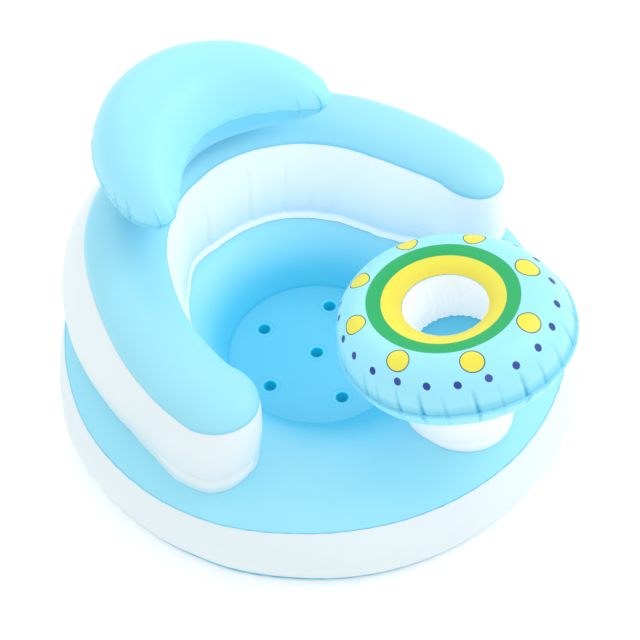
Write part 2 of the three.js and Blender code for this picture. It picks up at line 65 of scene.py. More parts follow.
MM = 0.001
TAU = 2 * math.pi
SEAT = "seat"
CHAMBERS = ("base", "backrest", "headrest", "toy")
SHARP_ANGLE = math.radians(50)
SAME_POINT = 2e-6
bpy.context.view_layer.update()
SEAT_LOW, SEAT_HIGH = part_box("base_top_sheet")
CENTRE = np.array(((SEAT_LOW + SEAT_HIGH) / 2).to_2d().to_3d())


# Settings

def length(name, default, description):
    return bpy.props.FloatProperty(
        name=name, default=default, description=description, unit="LENGTH", precision=4
    )


def angle(name, degrees, description):
    return bpy.props.FloatProperty(
        name=name, default=math.radians(degrees), description=description, subtype="ANGLE"
    )


def share(name, default, description):
    return bpy.props.FloatProperty(name=name, default=default, description=description)


def srgb(red, green, blue):
    """A linear colour from the 0 to 255 values that a picture shows."""
    def linear(value):
        v = value / 255
        return v / 12.92 if v <= 0.04045 else ((v + 0.055) / 1.055) ** 2.4
    return (linear(red), linear(green), linear(blue), 1.0)


def colour(name, shade, description):
    return bpy.props.FloatVectorProperty(
        name=name, default=srgb(*shade), description=description, subtype="COLOR", size=4
    )


class FilmSettings(bpy.types.PropertyGroup):
    sky: colour("Sky", (159, 234, 254), "Top sheets, headrest and toy")
    # Painted shade in pleats, creases and undersides of the blue films, and the colour of their
    # welds.
    sky_shade_and_welds: colour("Sky deep", (44, 178, 216), "The same in welds and creases")
    # Painted shade: the bowl's top sheet darkens to this the deeper it lies.
    bowl_shade: colour("Bowl deep", (72, 202, 238), "The base's top sheet deep in the bowl")
    floor: colour("Floor", (114, 211, 240), "Flat floor of the bowl")
    # Painted shade over the bowl's floor, and the colour of its drain welds and edge.
    floor_shade_and_welds: colour("Floor deep", (74, 192, 228), "The same round the drain holes")
    # Painted shade: the sleeves take the dark blue of the shaded bore of each drain hole.
    drain: colour("Drain", (0, 196, 230), "Drain sleeves")
    white: colour("White", (240, 252, 255), "Side walls and post")
    # Painted shade at the feet of the walls and post and in the band above the backrest's foot,
    # and the colour of their welds.
    white_shade_and_welds: colour("White deep", (196, 236, 248), "The same in welds and creases")
    cup: colour("Cup", (250, 250, 252), "Wall of the toy's cup")
    # Painted shade on the cup wall's lower part, and the colour of its mouth weld.
    cup_shade_and_weld: colour("Cup deep", (190, 232, 246), "The same at its mouth and foot")
    cup_floor: colour("Cup floor", (100, 200, 232), "Floor of the toy's cup")
    # Painted shade on the cup's floor, darker at its edge.
    cup_floor_shade: colour("Cup floor deep", (60, 176, 216), "The same at its edge")
    clear: colour("Clear", (216, 232, 240), "Valves, plugs and tethers")
    yellow: colour("Yellow", (242, 229, 66), "Printed ring and large dots")
    # Painted shade on the yellow ring's slope down to the cup.
    yellow_shade: colour("Yellow deep", (222, 196, 58), "Yellow ring towards the cup")
    green: colour("Green", (10, 172, 90), "Printed ring")
    navy: colour("Navy", (24, 52, 146), "Small printed dots")
    navy_faded: colour("Navy faded", (118, 130, 200), "Small dots where the ink is thin")
    outline: colour("Outline", (24, 56, 76), "Line round a large dot")


class BaseSettings(bpy.types.PropertyGroup):
    film: length("Film", 0.0006, "Thickness of every sheet of film")
    seam_radius: length("Seam radius", 0.300, "Radius of the seam of wall and top sheet")
    seam_height: length("Seam height", 0.089, "Height of that seam above the floor")
    wall_bulge: length("Wall bulge", 0.011, "How far the wall swells past its seams")
    crown_rise: length("Crown rise", 0.013, "Height of the crown over the seam")
    crown_radius: length("Crown radius", 0.225, "Radius of the highest ring of the base")
    crown_power: share("Crown power", 2.2, "How square the shoulder of the crown is")
    floor_radius: length("Floor radius", 0.107, "Radius of the flat floor of the bowl")
    floor_height: length("Floor height", 0.023, "Height of the floor of the bowl")
    bowl_back: share("Bowl back", 4.5, "Steepness of the bowl behind the sitter")
    bowl_front: share("Bowl front", 1.3, "Steepness of the bowl in front")
    foot_flange: length("Foot flange", 0.0030, "Width of the weld that shows at the foot")
    hole_radius: length("Hole radius", 0.007, "Radius of a drain hole")
    drain_circle: length("Drain circle", 0.0749, "Radius of the circle of drain holes")
    drain_turn: angle("Drain turn", -11, "Angle of the first drain hole from the back")
    drain_count: bpy.props.IntProperty(
        name="Drain count", default=5, description="Drain holes on the circle"
    )


class BackrestSettings(bpy.types.PropertyGroup):
    centre: length("Arm centre", 0.216, "Mean radius of the horseshoe's middle line")
    centre_sway: length("Centre sway", 0.0085, "How far the middle line sways")
    half: length("Half width", 0.046, "Half of the top sheet's width")
    half_sway: length("Half sway", 0.0032, "How much the half width sways")
    sway_rate: share("Sway rate", 3.6, "Sways for each turn of the horseshoe")
    sway_peak: angle("Sway peak", 12, "Angle of the first peak from the back")
    foot_inner: length("Foot inner radius", 0.155, "Inner radius of the foot")
    foot_inner_sway: length("Foot inner sway", 0.011, "Sway of the inner foot line")
    foot_outer: length("Foot outer radius", 0.273, "Outer radius of the foot")
    foot_outer_sway: length("Foot outer sway", 0.006, "Sway of the outer foot line")
    foot_tip: length("Foot tip radius", 0.180, "Inner radius of the foot at the arm ends")
    taper_start: angle("Taper start", 75, "Where the foot starts to narrow")
    sweep: angle("Sweep", 104, "Angle of each arm from the back to its end")
    tip_length: length("Tip length", 0.045, "How far an arm's round end reaches")
    seam_height: length("Seam height", 0.2055, "Height of the top seam above the floor")
    crown: length("Crown", 0.0225, "Rise of the top sheet over its seam")
    crown_root: share("Crown root", 0.6, "How round the top sheet is")
    outer_bulge: length("Outer bulge", 0.026, "Swell of the outer wall at the back")
    tip_bulge: length("Tip bulge", 0.004, "Swell of the wall round the arm ends")
    inner_bulge: length("Inner bulge", 0.005, "Swell of the inner wall")
    bulge_fade: angle("Bulge fade", 45, "Where the outer swell starts to fade")


class HeadrestSettings(bpy.types.PropertyGroup):
    half_length: length("Half length", 0.176, "Half of the cushion's length on its bend")
    half_width: length("Half width", 0.049, "Half of the cushion's width")
    seam_height: length("Seam height", 0.2943, "Height of the welded rim")
    rise: length("Rise", 0.058, "Swell above the rim")
    depth: length("Depth", 0.066, "Swell below the rim")
    bend: length("Bend", 0.131, "Radius of the bend")
    stretch: share("Stretch", 1.26, "Lengthening of the bend to the back")
    back: length("Back", 0.221, "Distance of the cushion's middle behind the centre")
    roundness: share("Roundness", 2.2, "How square the rim's outline is")
    swell_power: share("Swell power", 2.2, "How flat the middle of the swell is")
    swell_root: share("Swell root", 0.55, "How steep the swell is at the rim")
    rim: length("Rim", 0.0014, "Width of the welded rim")


class ToySettings(bpy.types.PropertyGroup):
    radius: length("Seam radius", 0.125, "Radius of the ring's seam")
    crown_radius: length("Crown radius", 0.083, "Radius of the ring's highest line")
    rise: length("Rise", 0.052, "Height of the crown over the seam")
    depth: length("Depth", 0.037, "Depth of the lower sheet under the seam")
    flat_depth: length("Flat depth", 0.035, "Depth of the lower sheet's flat middle")
    lean: angle("Lean", 9, "Lean of the ring towards the seat")
    seam_height: length("Seam height", 0.221, "Height of the seam's middle")
    forward: length("Forward", 0.202, "Distance of the ring in front of the centre")
    rim: length("Rim", 0.003, "Width of the welded rim")
    fullness: share("Fullness", 2.2, "How square the swell between crown and seam is")
    cup_radius: length("Cup radius", 0.0463, "Radius of the cup's mouth")
    cup_drop: length("Cup drop", 0.0105, "Depth of the mouth under the crown")
    cup_floor_radius: length("Cup floor radius", 0.0455, "Radius of the cup's floor")
    cup_floor: length("Cup floor", -0.018, "Height of the cup's floor from the seam")
    post_foot: length("Post foot radius", 0.0560, "Radius of the post at its foot")
    post_top: length("Post top radius", 0.060, "Radius of the post at its top")
    post_bulge: length("Post bulge", 0.004, "Swell of the post's wall")
    post_forward: length("Post forward", 0.214, "Distance of the post's foot in front")


class ValveSettings(bpy.types.PropertyGroup):
    flange: length("Flange radius", 0.012, "Radius of the flange")
    stem: length("Stem radius", 0.005, "Radius of the sunk stem")
    bore: length("Bore radius", 0.0032, "Radius of the bore")
    depth: length("Depth", 0.012, "Depth of the stem under the film")
    cap: length("Cap radius", 0.0065, "Radius of the plug's cap")


class StageSettings(bpy.types.PropertyGroup):
    azimuth: angle("Azimuth", -47, "Camera's angle round the seat from its front")
    elevation: angle("Elevation", 50.5, "Camera's angle above the floor")
    distance: length("Distance", 1.89849, "Camera's distance from the base seam")
    pan: angle("Pan", -0.1598, "Camera's turn to the side")
    tilt: angle("Tilt", -0.0762, "Camera's turn up")
    roll: angle("Roll", 2.2, "Camera's turn about its axis")
    lens: share("Lens", 90, "Focal length in millimetres on a 36 mm sensor")


# Numbers and grids

def lerp(a, b, t):
    return a + (b - a) * t


def smoothstep(value, low, high):
    t = np.clip((value - low) / (high - low), 0, 1)
    return t * t * (3 - 2 * t)


def hump(value, middle, width):
    return np.exp(-(((value - middle) / width) ** 2))


def turn_hump(turn, degrees, width_degrees):
    gap = (turn - math.radians(degrees) + math.pi) % TAU - math.pi
    return np.exp(-((gap / math.radians(width_degrees)) ** 2))


def by_angle(turn, table):
    """A length read from a table of degrees and millimetres round the whole circle."""
    degrees, values = zip(*table)
    return np.interp(turn, np.radians(degrees), np.array(values) * MM, period=TAU)


def signed_power(value, power):
    return np.sign(value) * np.abs(value) ** power


def grid_normals(rows):
    around = np.roll(rows, -1, 1) - np.roll(rows, 1, 1)
    across = np.gradient(rows, axis=0)
    normals = np.cross(around, across)
    size = np.linalg.norm(normals, axis=2, keepdims=True)
    pole = size[..., 0].max(1) < 1e-12
    normals = normals / np.maximum(size, 1e-15)
    for i in np.flatnonzero(pole):
        mean = normals[i - 1 if i else 1].mean(0)
        normals[i] = mean / np.linalg.norm(mean)
    return normals


def push(rows, distance, side, folded=False):
    """Moves points along their outward normals; the last row of a folded grid moves in Z."""
    normals = grid_normals(rows)
    if folded:
        normals[-1] = (0, 0, side)
    return rows + normals * (side * distance)[..., None]


def is_pole(row):
    return np.ptp(row, axis=0).max() < 1e-9


def film_faces(rows, folded):
    """The faces of both sides of a film, with none between two rows that close on themselves."""
    count, columns = rows.shape[:2]
    faces = grid_faces(2 * count, columns, True).reshape(2 * count, columns, 4)
    open_rows = np.ones(2 * count, bool)
    open_rows[count - 1] = not (folded or is_pole(rows[-1]))
    open_rows[-1] = not is_pole(rows[0])
    return faces[open_rows].reshape(-1, 4)


def grid_faces(rows, columns, closed):
    last = rows if closed else rows - 1
    i, j = np.meshgrid(np.arange(last), np.arange(columns), indexing="ij")
    k, n = (j + 1) % columns, (i + 1) % rows
    quads = np.stack([i * columns + j, i * columns + k, n * columns + k, n * columns + j], -1)
    return quads.reshape(-1, 4)


def circle_turns(count):
    return np.arange(count) * TAU / count


def around(columns):
    """One row of even angles round a circle."""
    return circle_turns(columns)[None, :]


def even_rows(count):
    """A column of even steps from 0 to 1."""
    return np.linspace(0, 1, count)[:, None]


def near_welds(level, foot, top):
    """Fades away from both welds of a wall."""
    return np.exp(-level / foot) + np.exp(-(1 - level) / top)


def uneven_waves(first, second):
    """Two waves of unlike lengths, so that the ripples don't look regular."""
    return np.sin(first) * 0.6 + np.sin(second) * 0.4


def stacked(x, y, z):
    return np.stack(np.broadcast_arrays(x, y, z), -1)


def round_back(rows):
    """Radius and angle from the back of each point."""
    return np.hypot(rows[..., 0], rows[..., 1]), np.arctan2(rows[..., 0], rows[..., 1])


def arch(level):
    """0 at both ends of a wall and 1 at its middle."""
    return 1 - (2 * level - 1) ** 2


def polar(radius, turn, height):
    """Points from a radius and an angle from the back, clockwise from above."""
    return stacked(radius * np.sin(turn), radius * np.cos(turn), height)


# Meshes

def smooth(mesh):
    for polygon in mesh.polygons:
        polygon.use_smooth = True
    mesh.set_sharp_from_angle(angle=SHARP_ANGLE)


def linked(name, data):
    obj = bpy.data.objects.new(name, data)
    bpy.context.scene.collection.objects.link(obj)
    return obj


def new_object(name, mesh, material):
    mesh.name = name
    smooth(mesh)
    mesh.materials.append(material)
    return linked(name, mesh)


def add_layers(mesh, layers):
    for name, values in (layers or {}).items():
        layer = mesh.attributes.new(name, "FLOAT", "POINT")
        layer.data.foreach_set("value", np.asarray(values, np.float32).ravel())


def add_print_map(mesh, flat):
    loops = np.zeros(len(mesh.loops), np.int32)
    mesh.loops.foreach_get("vertex_index", loops)
    layer = mesh.uv_layers.new(name="Print")
    layer.data.foreach_set("uv", flat[loops].astype(np.float32).ravel())


def close_seams(mesh):
    """Joins the doubled points of poles and middle lines, and turns the faces outwards."""
    work = bmesh.new()
    work.from_mesh(mesh)
    bmesh.ops.remove_doubles(work, verts=work.verts, dist=SAME_POINT)
    bmesh.ops.recalc_face_normals(work, faces=work.faces)
    work.to_mesh(mesh)
    work.free()


def film_sheet(name, rows, material, side, thickness, layers=None, flat=None, folded=False):
    """A closed thin shell: the rows are its outer face, and each row is a closed loop.

    The last row of a folded sheet runs out along one side of a middle line and back along it.
    """
    inner = push(rows, np.full(rows.shape[:2], -thickness), side, folded)
    points = np.concatenate([rows, inner[::-1]]) + CENTRE
    mesh = bpy.data.meshes.new(name)
    mesh.from_pydata(points.reshape(-1, 3), [], film_faces(rows, folded))
    doubled = {k: np.concatenate([v, v[::-1]]) for k, v in (layers or {}).items()}
    add_layers(mesh, doubled)
    if flat is not None:
        add_print_map(mesh, np.concatenate([flat, flat[::-1]]).reshape(-1, 2))
    close_seams(mesh)
    return new_object(name, mesh, material)


def closed_body(name, rows, material, layers=None):
    """A closed body whose first and last rows are poles."""
    mesh = bpy.data.meshes.new(name)
    count, columns = rows.shape[:2]
    points = (rows + CENTRE).reshape(-1, 3)
    mesh.from_pydata(points, [], grid_faces(count, columns, False))
    add_layers(mesh, layers)
    close_seams(mesh)
    return new_object(name, mesh, material)


def cut_holes(obj, places, radius):
    """Cuts round upright holes through a sheet."""
    work = bmesh.new()
    for x, y in places:
        where = Matrix.Translation((x + CENTRE[0], y + CENTRE[1], 0))
        bmesh.ops.create_cone(
            work, cap_ends=True, segments=48, radius1=radius, radius2=radius,
            depth=0.2, matrix=where,
        )
    mesh = bpy.data.meshes.new("cutters")
    work.to_mesh(mesh)
    work.free()
    cutter = linked("cutters", mesh)
    modifier = obj.modifiers.new("Holes", "BOOLEAN")
    modifier.object = cutter
    modifier.operation = "DIFFERENCE"
    modifier.solver = "EXACT"
    apply_modifiers(obj)
    bpy.data.objects.remove(cutter)


def apply_modifiers(obj):
    graph = bpy.context.evaluated_depsgraph_get()
    graph.update()
    mesh = bpy.data.meshes.new_from_object(obj.evaluated_get(graph))
    obj.modifiers.clear()
    obj.data = mesh


def settle(obj, body, slot, *nodes):
    """Puts the piece under its named body and hides the nodes that it stands for; slot is not
    used.
    """
    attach(obj, body)
    if nodes:
        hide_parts(*nodes)


# Materials

class Graph:
    """Short calls for making the nodes of a material, a world or a geometry tree."""

    def __init__(self, tree):
        self.tree = tree

    def add(self, kind, inputs=None, **settings):
        node = self.tree.nodes.new(kind)
        for key, value in settings.items():
            setattr(node, key, value)
        for key, value in (inputs or {}).items():
            self.put(node.inputs[key], value)
        return node

    def put(self, socket, value):
        if isinstance(value, bpy.types.NodeSocket):
            self.tree.links.new(value, socket)
            return
        for link in list(socket.links):
            self.tree.links.remove(link)
        socket.default_value = value

    def math(self, operation, *values):
        return self.add("ShaderNodeMath", dict(enumerate(values)), operation=operation).outputs[0]

    def distance(self, x, y):
        squares = self.math("MULTIPLY", x, x), self.math("MULTIPLY", y, y)
        return self.math("SQRT", self.math("ADD", *squares))

    def mix(self, factor, a, b):
        return self.add("ShaderNodeMix", {0: factor, 6: a, 7: b}, data_type="RGBA").outputs[2]

    def layer(self, name):
        return self.add("ShaderNodeAttribute", attribute_name=name).outputs["Fac"]

    def noise(self, scale, detail=2.0):
        place = self.add("ShaderNodeTexCoord").outputs["Object"]
        inputs = {"Vector": place, "Scale": scale, "Detail": detail, "Roughness": 0.5}
        return self.add("ShaderNodeTexNoise", inputs).outputs["Fac"]

    def spread(self, value, low, high, to_low, to_high):
        inputs = {
            "Value": value, "From Min": low, "From Max": high,
            "To Min": to_low, "To Max": to_high,
        }
        return self.add("ShaderNodeMapRange", inputs).outputs[0]

    def background_share(self):
        """1 for the rays that show the background: the camera's, and those of gloss and glass."""
        path = self.add("ShaderNodeLightPath").outputs
        seen = self.math("MAXIMUM", path["Is Camera Ray"], path["Is Glossy Ray"])
        return self.math("MAXIMUM", seen, path["Is Transmission Ray"])


class Finish(Graph):
    """The nodes of a new material round its one shader."""

    def __init__(self, name):
        self.material = bpy.data.materials.new(name)
        self.material.use_nodes = True
        super().__init__(self.material.node_tree)
        self.inputs = self.tree.nodes["Principled BSDF"].inputs

    def set(self, values):
        for name, value in values.items():
            self.put(self.inputs[name], value)


MATT, SOFT, SMOOTH, PRINTED, SLICK, DULL = 0.40, 0.36, 0.34, 0.33, 0.25, 0.45
# Painted light: WARM_LIGHT and CUP_LIGHT colour the films' emission, and WALL_GLOW is its
# strength on the backrest's inner wall.
WARM_LIGHT = (1, 0.64, 0.58, 1)
CUP_LIGHT = (1, 0.82, 0.66, 1)
WALL_GLOW = 0.20


def finish_vinyl(graph, colour, roughness, painted_glow=0.0):
    """Soft vinyl: uneven colour and gloss, slack ripples, a fine grain, a little subsurface light
    and painted light from its emission.
    """
    uneven = graph.spread(graph.noise(7.0), 0.3, 0.7, 0.965, 1.0)
    inputs = {0: colour, "Scale": uneven}
    tint = graph.add("ShaderNodeVectorMath", inputs, operation="SCALE").outputs[0]
    worn = graph.spread(graph.noise(38.0, 3.0), 0.3, 0.7, roughness - 0.04, roughness + 0.05)
    ripples = {"Strength": 0.12, "Distance": 0.004, "Height": graph.noise(16.0)}
    slack = graph.add("ShaderNodeBump", ripples).outputs[0]
    grain = {"Strength": 0.05, "Distance": 0.0004, "Height": graph.noise(900.0), "Normal": slack}
    graph.set({
        "Base Color": tint,
        "Emission Color": tint,
        "Emission Strength": painted_glow,
        "Roughness": worn,
        "Normal": graph.add("ShaderNodeBump", grain).outputs[0],
        "IOR": 1.45,
        "Subsurface Weight": 0.12,
        "Subsurface Radius": (0.6, 0.9, 1.0),
        "Subsurface Scale": 0.012,
    })


def vinyl(name, colour, deep, roughness=SOFT, painted_glow=0.0, through=None):
    """One film in one colour; its deep layer mixes in the deeper tint: painted shade in hollows
    and creases, and the darker welds.
    """
    graph = Finish(name)
    finish_vinyl(graph, graph.mix(graph.layer("deep"), colour, deep), roughness, painted_glow)
    # through is the colour of the painted light, the emission.
    if through:
        graph.set({"Emission Color": through})
    return graph


def lit_vinyl(name, colour, deep):
    """White film with painted light from its emission where its lit layer says so."""
    graph = vinyl(name, colour, deep, MATT, 0.0, WARM_LIGHT)
    graph.set({"Emission Strength": graph.math("MULTIPLY", graph.layer("lit"), WALL_GLOW)})


PRINT_SIZE = 0.36
PRINT_BLUR = 0.0003
YELLOW_EDGE = 0.0680
GREEN_EDGE = 0.0838
YELLOW_DOTS = (8, 0.0995, 0.27)
NAVY_DOTS = (23, 0.1215, 0.17)
DOT_OUTLINE, DOT_YELLOW, DOT_NAVY = 0.0128, 0.0117, 0.0043
MOUTH_SHADE = (0.046, 0.060)


def printed_vinyl(name, s):
    """The blue film of the toy with its printed rings and dots, laid out on the flat sheet."""
    graph = Finish(name)
    flat = graph.add("ShaderNodeUVMap", uv_map="Print").outputs[0]
    split = graph.add("ShaderNodeSeparateXYZ", {"Vector": flat})
    x = graph.math("MULTIPLY", graph.math("SUBTRACT", split.outputs[0], 0.5), PRINT_SIZE)
    y = graph.math("MULTIPLY", graph.math("SUBTRACT", split.outputs[1], 0.5), PRINT_SIZE)
    far = graph.distance(x, y)
    turn = graph.math("ARCTAN2", y, x)

    def within(distance, limit):
        return graph.spread(distance, limit - PRINT_BLUR, limit + PRINT_BLUR, 1.0, 0.0)

    def dot_ring(count, ring, phase):
        """The distance to the nearest dot's middle, and that dot's number."""
        steps = graph.math("ADD", graph.math("MULTIPLY", turn, count / TAU), phase)
        part = graph.math("SUBTRACT", graph.math("FRACT", steps), 0.5)
        side = graph.math("MULTIPLY", part, TAU / count * ring)
        return graph.distance(side, graph.math("SUBTRACT", far, ring)), graph.math("FLOOR", steps)

    gap, _ = dot_ring(*YELLOW_DOTS)
    # The deep layer mixes in painted shade in the pleats, and the rim's weld colour.
    film = graph.mix(graph.layer("deep"), s.sky, s.sky_shade_and_welds)
    film = graph.mix(within(gap, DOT_OUTLINE), film, s.outline)
    film = graph.mix(within(gap, DOT_YELLOW), film, s.yellow)
    gap, which = dot_ring(*NAVY_DOTS)
    luck = graph.add("ShaderNodeTexWhiteNoise", {"W": which}, noise_dimensions="1D")
    thin = graph.spread(luck.outputs["Value"], 0.5, 1.0, 0.0, 0.45)
    ink = graph.mix(graph.math("MULTIPLY", thin, graph.noise(420.0, 3.0)), s.navy, s.navy_faded)
    film = graph.mix(within(gap, DOT_NAVY), film, ink)
    film = graph.mix(within(far, GREEN_EDGE), film, s.green)
    # Painted shade: the yellow ring darkens towards the cup's mouth.
    mouth = graph.spread(far, *MOUTH_SHADE, 0.4, 0.0)
    film = graph.mix(within(far, YELLOW_EDGE), film, graph.mix(mouth, s.yellow, s.yellow_shade))
    # 0.05 is a faint painted light, the film's emission.
    finish_vinyl(graph, film, PRINTED, 0.05)


def make_films(s):
    """Every film's material; each operator finds its own again by name."""
    # Painted light: a film's last number is the strength of its emission, which brightens it
    # beyond the lamps.
    vinyl("sky_blue_vinyl", s.sky, s.sky_shade_and_welds)
    vinyl("base_top_vinyl", s.sky, s.bowl_shade, SOFT, 0.04)
    vinyl("lower_vinyl", s.sky, s.sky_shade_and_welds, SOFT, 0.16)
    vinyl("mid_blue_vinyl", s.floor, s.floor_shade_and_welds, SMOOTH, 0.10)
    vinyl("drain_vinyl", s.drain, s.drain, DULL, 0.12)
    vinyl("white_vinyl", s.white, s.white_shade_and_welds, MATT)
    vinyl("post_vinyl", s.white, s.white_shade_and_welds, MATT, 0.17, WARM_LIGHT)
    lit_vinyl("backrest_vinyl", s.white, s.white_shade_and_welds)
    vinyl("cup_vinyl", s.cup, s.cup_shade_and_weld, MATT, 0.22, CUP_LIGHT)
    vinyl("cup_floor_vinyl", s.cup_floor, s.cup_floor_shade, SMOOTH, 0.06)
    vinyl("clear_vinyl", s.clear, s.clear, SLICK)
    printed_vinyl("printed_vinyl", s)


def film_of(name):
    return bpy.data.materials[name]


# Base

# How far the real seat's outline departs from round: degrees from the back, then millimetres.
BASE_SWAY = (
    (-180, 0.5), (-156, -1), (-140, -2), (-126, -1), (-111, 4), (-98, 5), (-75, 2), (-59, -2),
    (-48, -3), (-12, 0), (12, 0), (45, -3), (70, -9), (90, -18), (104, -24), (116, -24),
    (130, -13), (142, -5), (152, -2),
)
WALL_SWELL = (
    (-180, 7), (-165, 8), (-135, 7), (-118, 4), (-105, 2), (-90, 2), (-80, 3), (-66, 5), (-57, 2),
    (-44, -2), (-12, 0), (12, 0), (40, 2), (90, 5), (120, 6), (140, 7), (158, 8), (168, 9),
)
WALL_FOOT = (
    (-180, 2.5), (-140, 3), (-126, 1), (-116, -1), (-106, -3.5), (-98, -3.5), (-90, -3),
    (-80, 0), (-68, 3), (-48, 2), (-12, 0), (12, 0), (60, 2), (150, 4), (170, 3.5),
)
BASE_COLUMNS, FLOOR_COLUMNS = 384, 288
FLOOR_LIP = 0.0009
SEAM_PUCKER = 0.00022
SEAM_RIPPLE = 0.00028
WALL_SLACK = 0.0008
WALL_LIFT = 0.0017
WELD_GAP = 0.0003
DRAIN_WELD = 0.0124
DRAIN_DISH = 0.0005


def base_top_height(s, radius, turn):
    """Height of the top sheet: a bowl inside the crown and a shoulder outside it."""
    power = lerp(s.bowl_back, s.bowl_front, (1 - np.cos(turn)) / 2)
    climb = np.clip((radius - s.floor_radius) / (s.crown_radius - s.floor_radius), 0, 1)
    top = s.seam_height + s.crown_rise
    bowl = s.floor_height + (top - s.floor_height) * (1 - (1 - climb) ** power)
    out = np.clip((radius - s.crown_radius) / (s.seam_radius - s.crown_radius), 0, 1)
    return bowl - s.crown_rise * out ** s.crown_power


def base_sway(s, radius, turn):
    out = np.clip((radius - s.crown_radius) / (s.seam_radius - s.crown_radius), 0, 1.1)
    return by_angle(turn, BASE_SWAY) * out


def drain_places(s):
    turns = s.drain_turn + circle_turns(s.drain_count)
    ring = [(s.drain_circle * math.sin(t), s.drain_circle * math.cos(t)) for t in turns]
    return [(0.0, 0.0), *ring]


def base_top_rows(s):
    out = np.linspace(1, 0, 36, endpoint=False)
    inward = np.linspace(0, 1, 56)
    radius = np.concatenate([
        lerp(s.crown_radius, s.seam_radius, out ** 0.8),
        lerp(s.crown_radius, s.floor_radius, inward),
    ])[:, None]
    turn = around(BASE_COLUMNS)
    height = base_top_height(s, radius, turn)
    height = height + FLOOR_LIP * np.exp(-(radius - s.floor_radius) / 0.003)
    near_seam = np.exp(-(s.seam_radius - radius) / 0.010)
    height = height + SEAM_PUCKER * near_seam * uneven_waves(97 * turn, 61 * turn + 1.3)
    return polar(radius + base_sway(s, radius, turn), turn, height), radius, turn


def make_base_top(s, material):
    rows, radius, turn = base_top_rows(s)
    top = s.seam_height + s.crown_rise
    # Painted shade: the top sheet darkens down into the bowl; thin darker lines mark the welds at
    # the floor's edge and at the seam.
    down = np.clip((top - rows[..., 2]) / (top - s.floor_height), 0, 1)
    inside = radius < s.crown_radius
    deep = np.where(inside, smoothstep(down, 0.0, 0.85), 0.0)
    edge = hump(radius, s.floor_radius, 0.0007) + 0.8 * hump(radius, s.seam_radius, 0.0008)
    deep = np.clip(deep * 0.85 + edge * np.ones_like(turn), 0, 1)
    obj = film_sheet("base_top_film", rows, material, -1, s.film, {"deep": deep})
    settle(obj, SEAT, "sky_blue_film", "base_top_sheet")


def make_base_wall(s, material):
    level = even_rows(40)
    turn = around(BASE_COLUMNS)
    height = lerp(WALL_LIFT, s.seam_height - WELD_GAP, level)
    bulge = (s.wall_bulge + by_angle(turn, WALL_SWELL)) * arch(height / s.seam_height)
    bulge = bulge + by_angle(turn, WALL_FOOT) * (1 - level) ** 2
    radius = s.seam_radius + bulge + base_sway(s, np.full_like(level, s.seam_radius), turn)
    ripple = uneven_waves(83 * turn + 2 * np.sin(5 * turn), 131 * turn)
    slack = np.sin(7 * turn + 0.8) * np.sin(math.pi * level)
    radius = radius + SEAM_RIPPLE * near_welds(level, 0.08, 0.07) * ripple + WALL_SLACK * slack
    rows = polar(radius, turn, height * np.ones_like(turn))
    # Painted shade darkens the wall towards its foot, over the foot's weld.
    deep = 0.7 * np.exp(-level / 0.05) + 0 * turn
    obj = film_sheet("base_wall_film", rows, material, -1, s.film, {"deep": deep})
    settle(obj, SEAT, "white_film", "base_side_wall")


def make_base_bottom(s, material):
    turn = around(BASE_COLUMNS)
    edge = s.seam_radius + s.foot_flange
    out = np.concatenate([np.linspace(0, 0.9, 30), np.linspace(0.92, 1, 18)])
    radius = out[:, None] * edge
    sway = base_sway(s, np.full_like(radius, s.seam_radius), turn) + by_angle(turn, WALL_FOOT)
    sway = sway * smoothstep(radius / edge, 0.5, 1)
    lift = smoothstep(radius, edge - 0.004, edge)
    wave = 0.0006 + 0.0005 * lift * (1 + np.sin(74 * turn + np.sin(9 * turn)))
    rows = polar(radius + sway, turn, wave + s.film)
    # A faint painted shade on the flange where it lifts.
    deep = np.zeros(rows.shape[:2]) + 0.1 * lift
    obj = film_sheet("base_bottom_film", rows, material, 1, s.film, {"deep": deep})
    cut_holes(obj, drain_places(s), s.hole_radius + 0.0002)
    settle(obj, SEAT, "sky_blue_film", "base_bottom_sheet")


def make_seat_floor(s, material):
    """The flat floor with a shallow dish round each drain hole."""
    turn = around(FLOOR_COLUMNS)
    radius = even_rows(110) * (s.floor_radius + 0.003)
    rows = polar(radius, turn, s.floor_height)
    # Painted shade: the floor takes some deeper tint all over, more at each drain's weld ring and
    # at its edge, less in each dish.
    deep = np.full(rows.shape[:2], 0.35)
    for x, y in drain_places(s):
        far = np.hypot(rows[..., 0] - x, rows[..., 1] - y)
        rows[..., 2] -= DRAIN_DISH * (1 - smoothstep(far, 0.0100, 0.0128))
        deep += 0.5 * hump(far, DRAIN_WELD, 0.0006) - 0.25 * (1 - smoothstep(far, 0.0095, 0.012))
    deep = np.clip(deep + 0.4 * smoothstep(radius, s.floor_radius - 0.002, s.floor_radius), 0, 1)
    obj = film_sheet("seat_floor_film", rows, material, -1, s.film, {"deep": deep})
    cut_holes(obj, drain_places(s), s.hole_radius + 0.0004)
    settle(obj, SEAT, "mid_blue_film", "seat_floor_sheet")


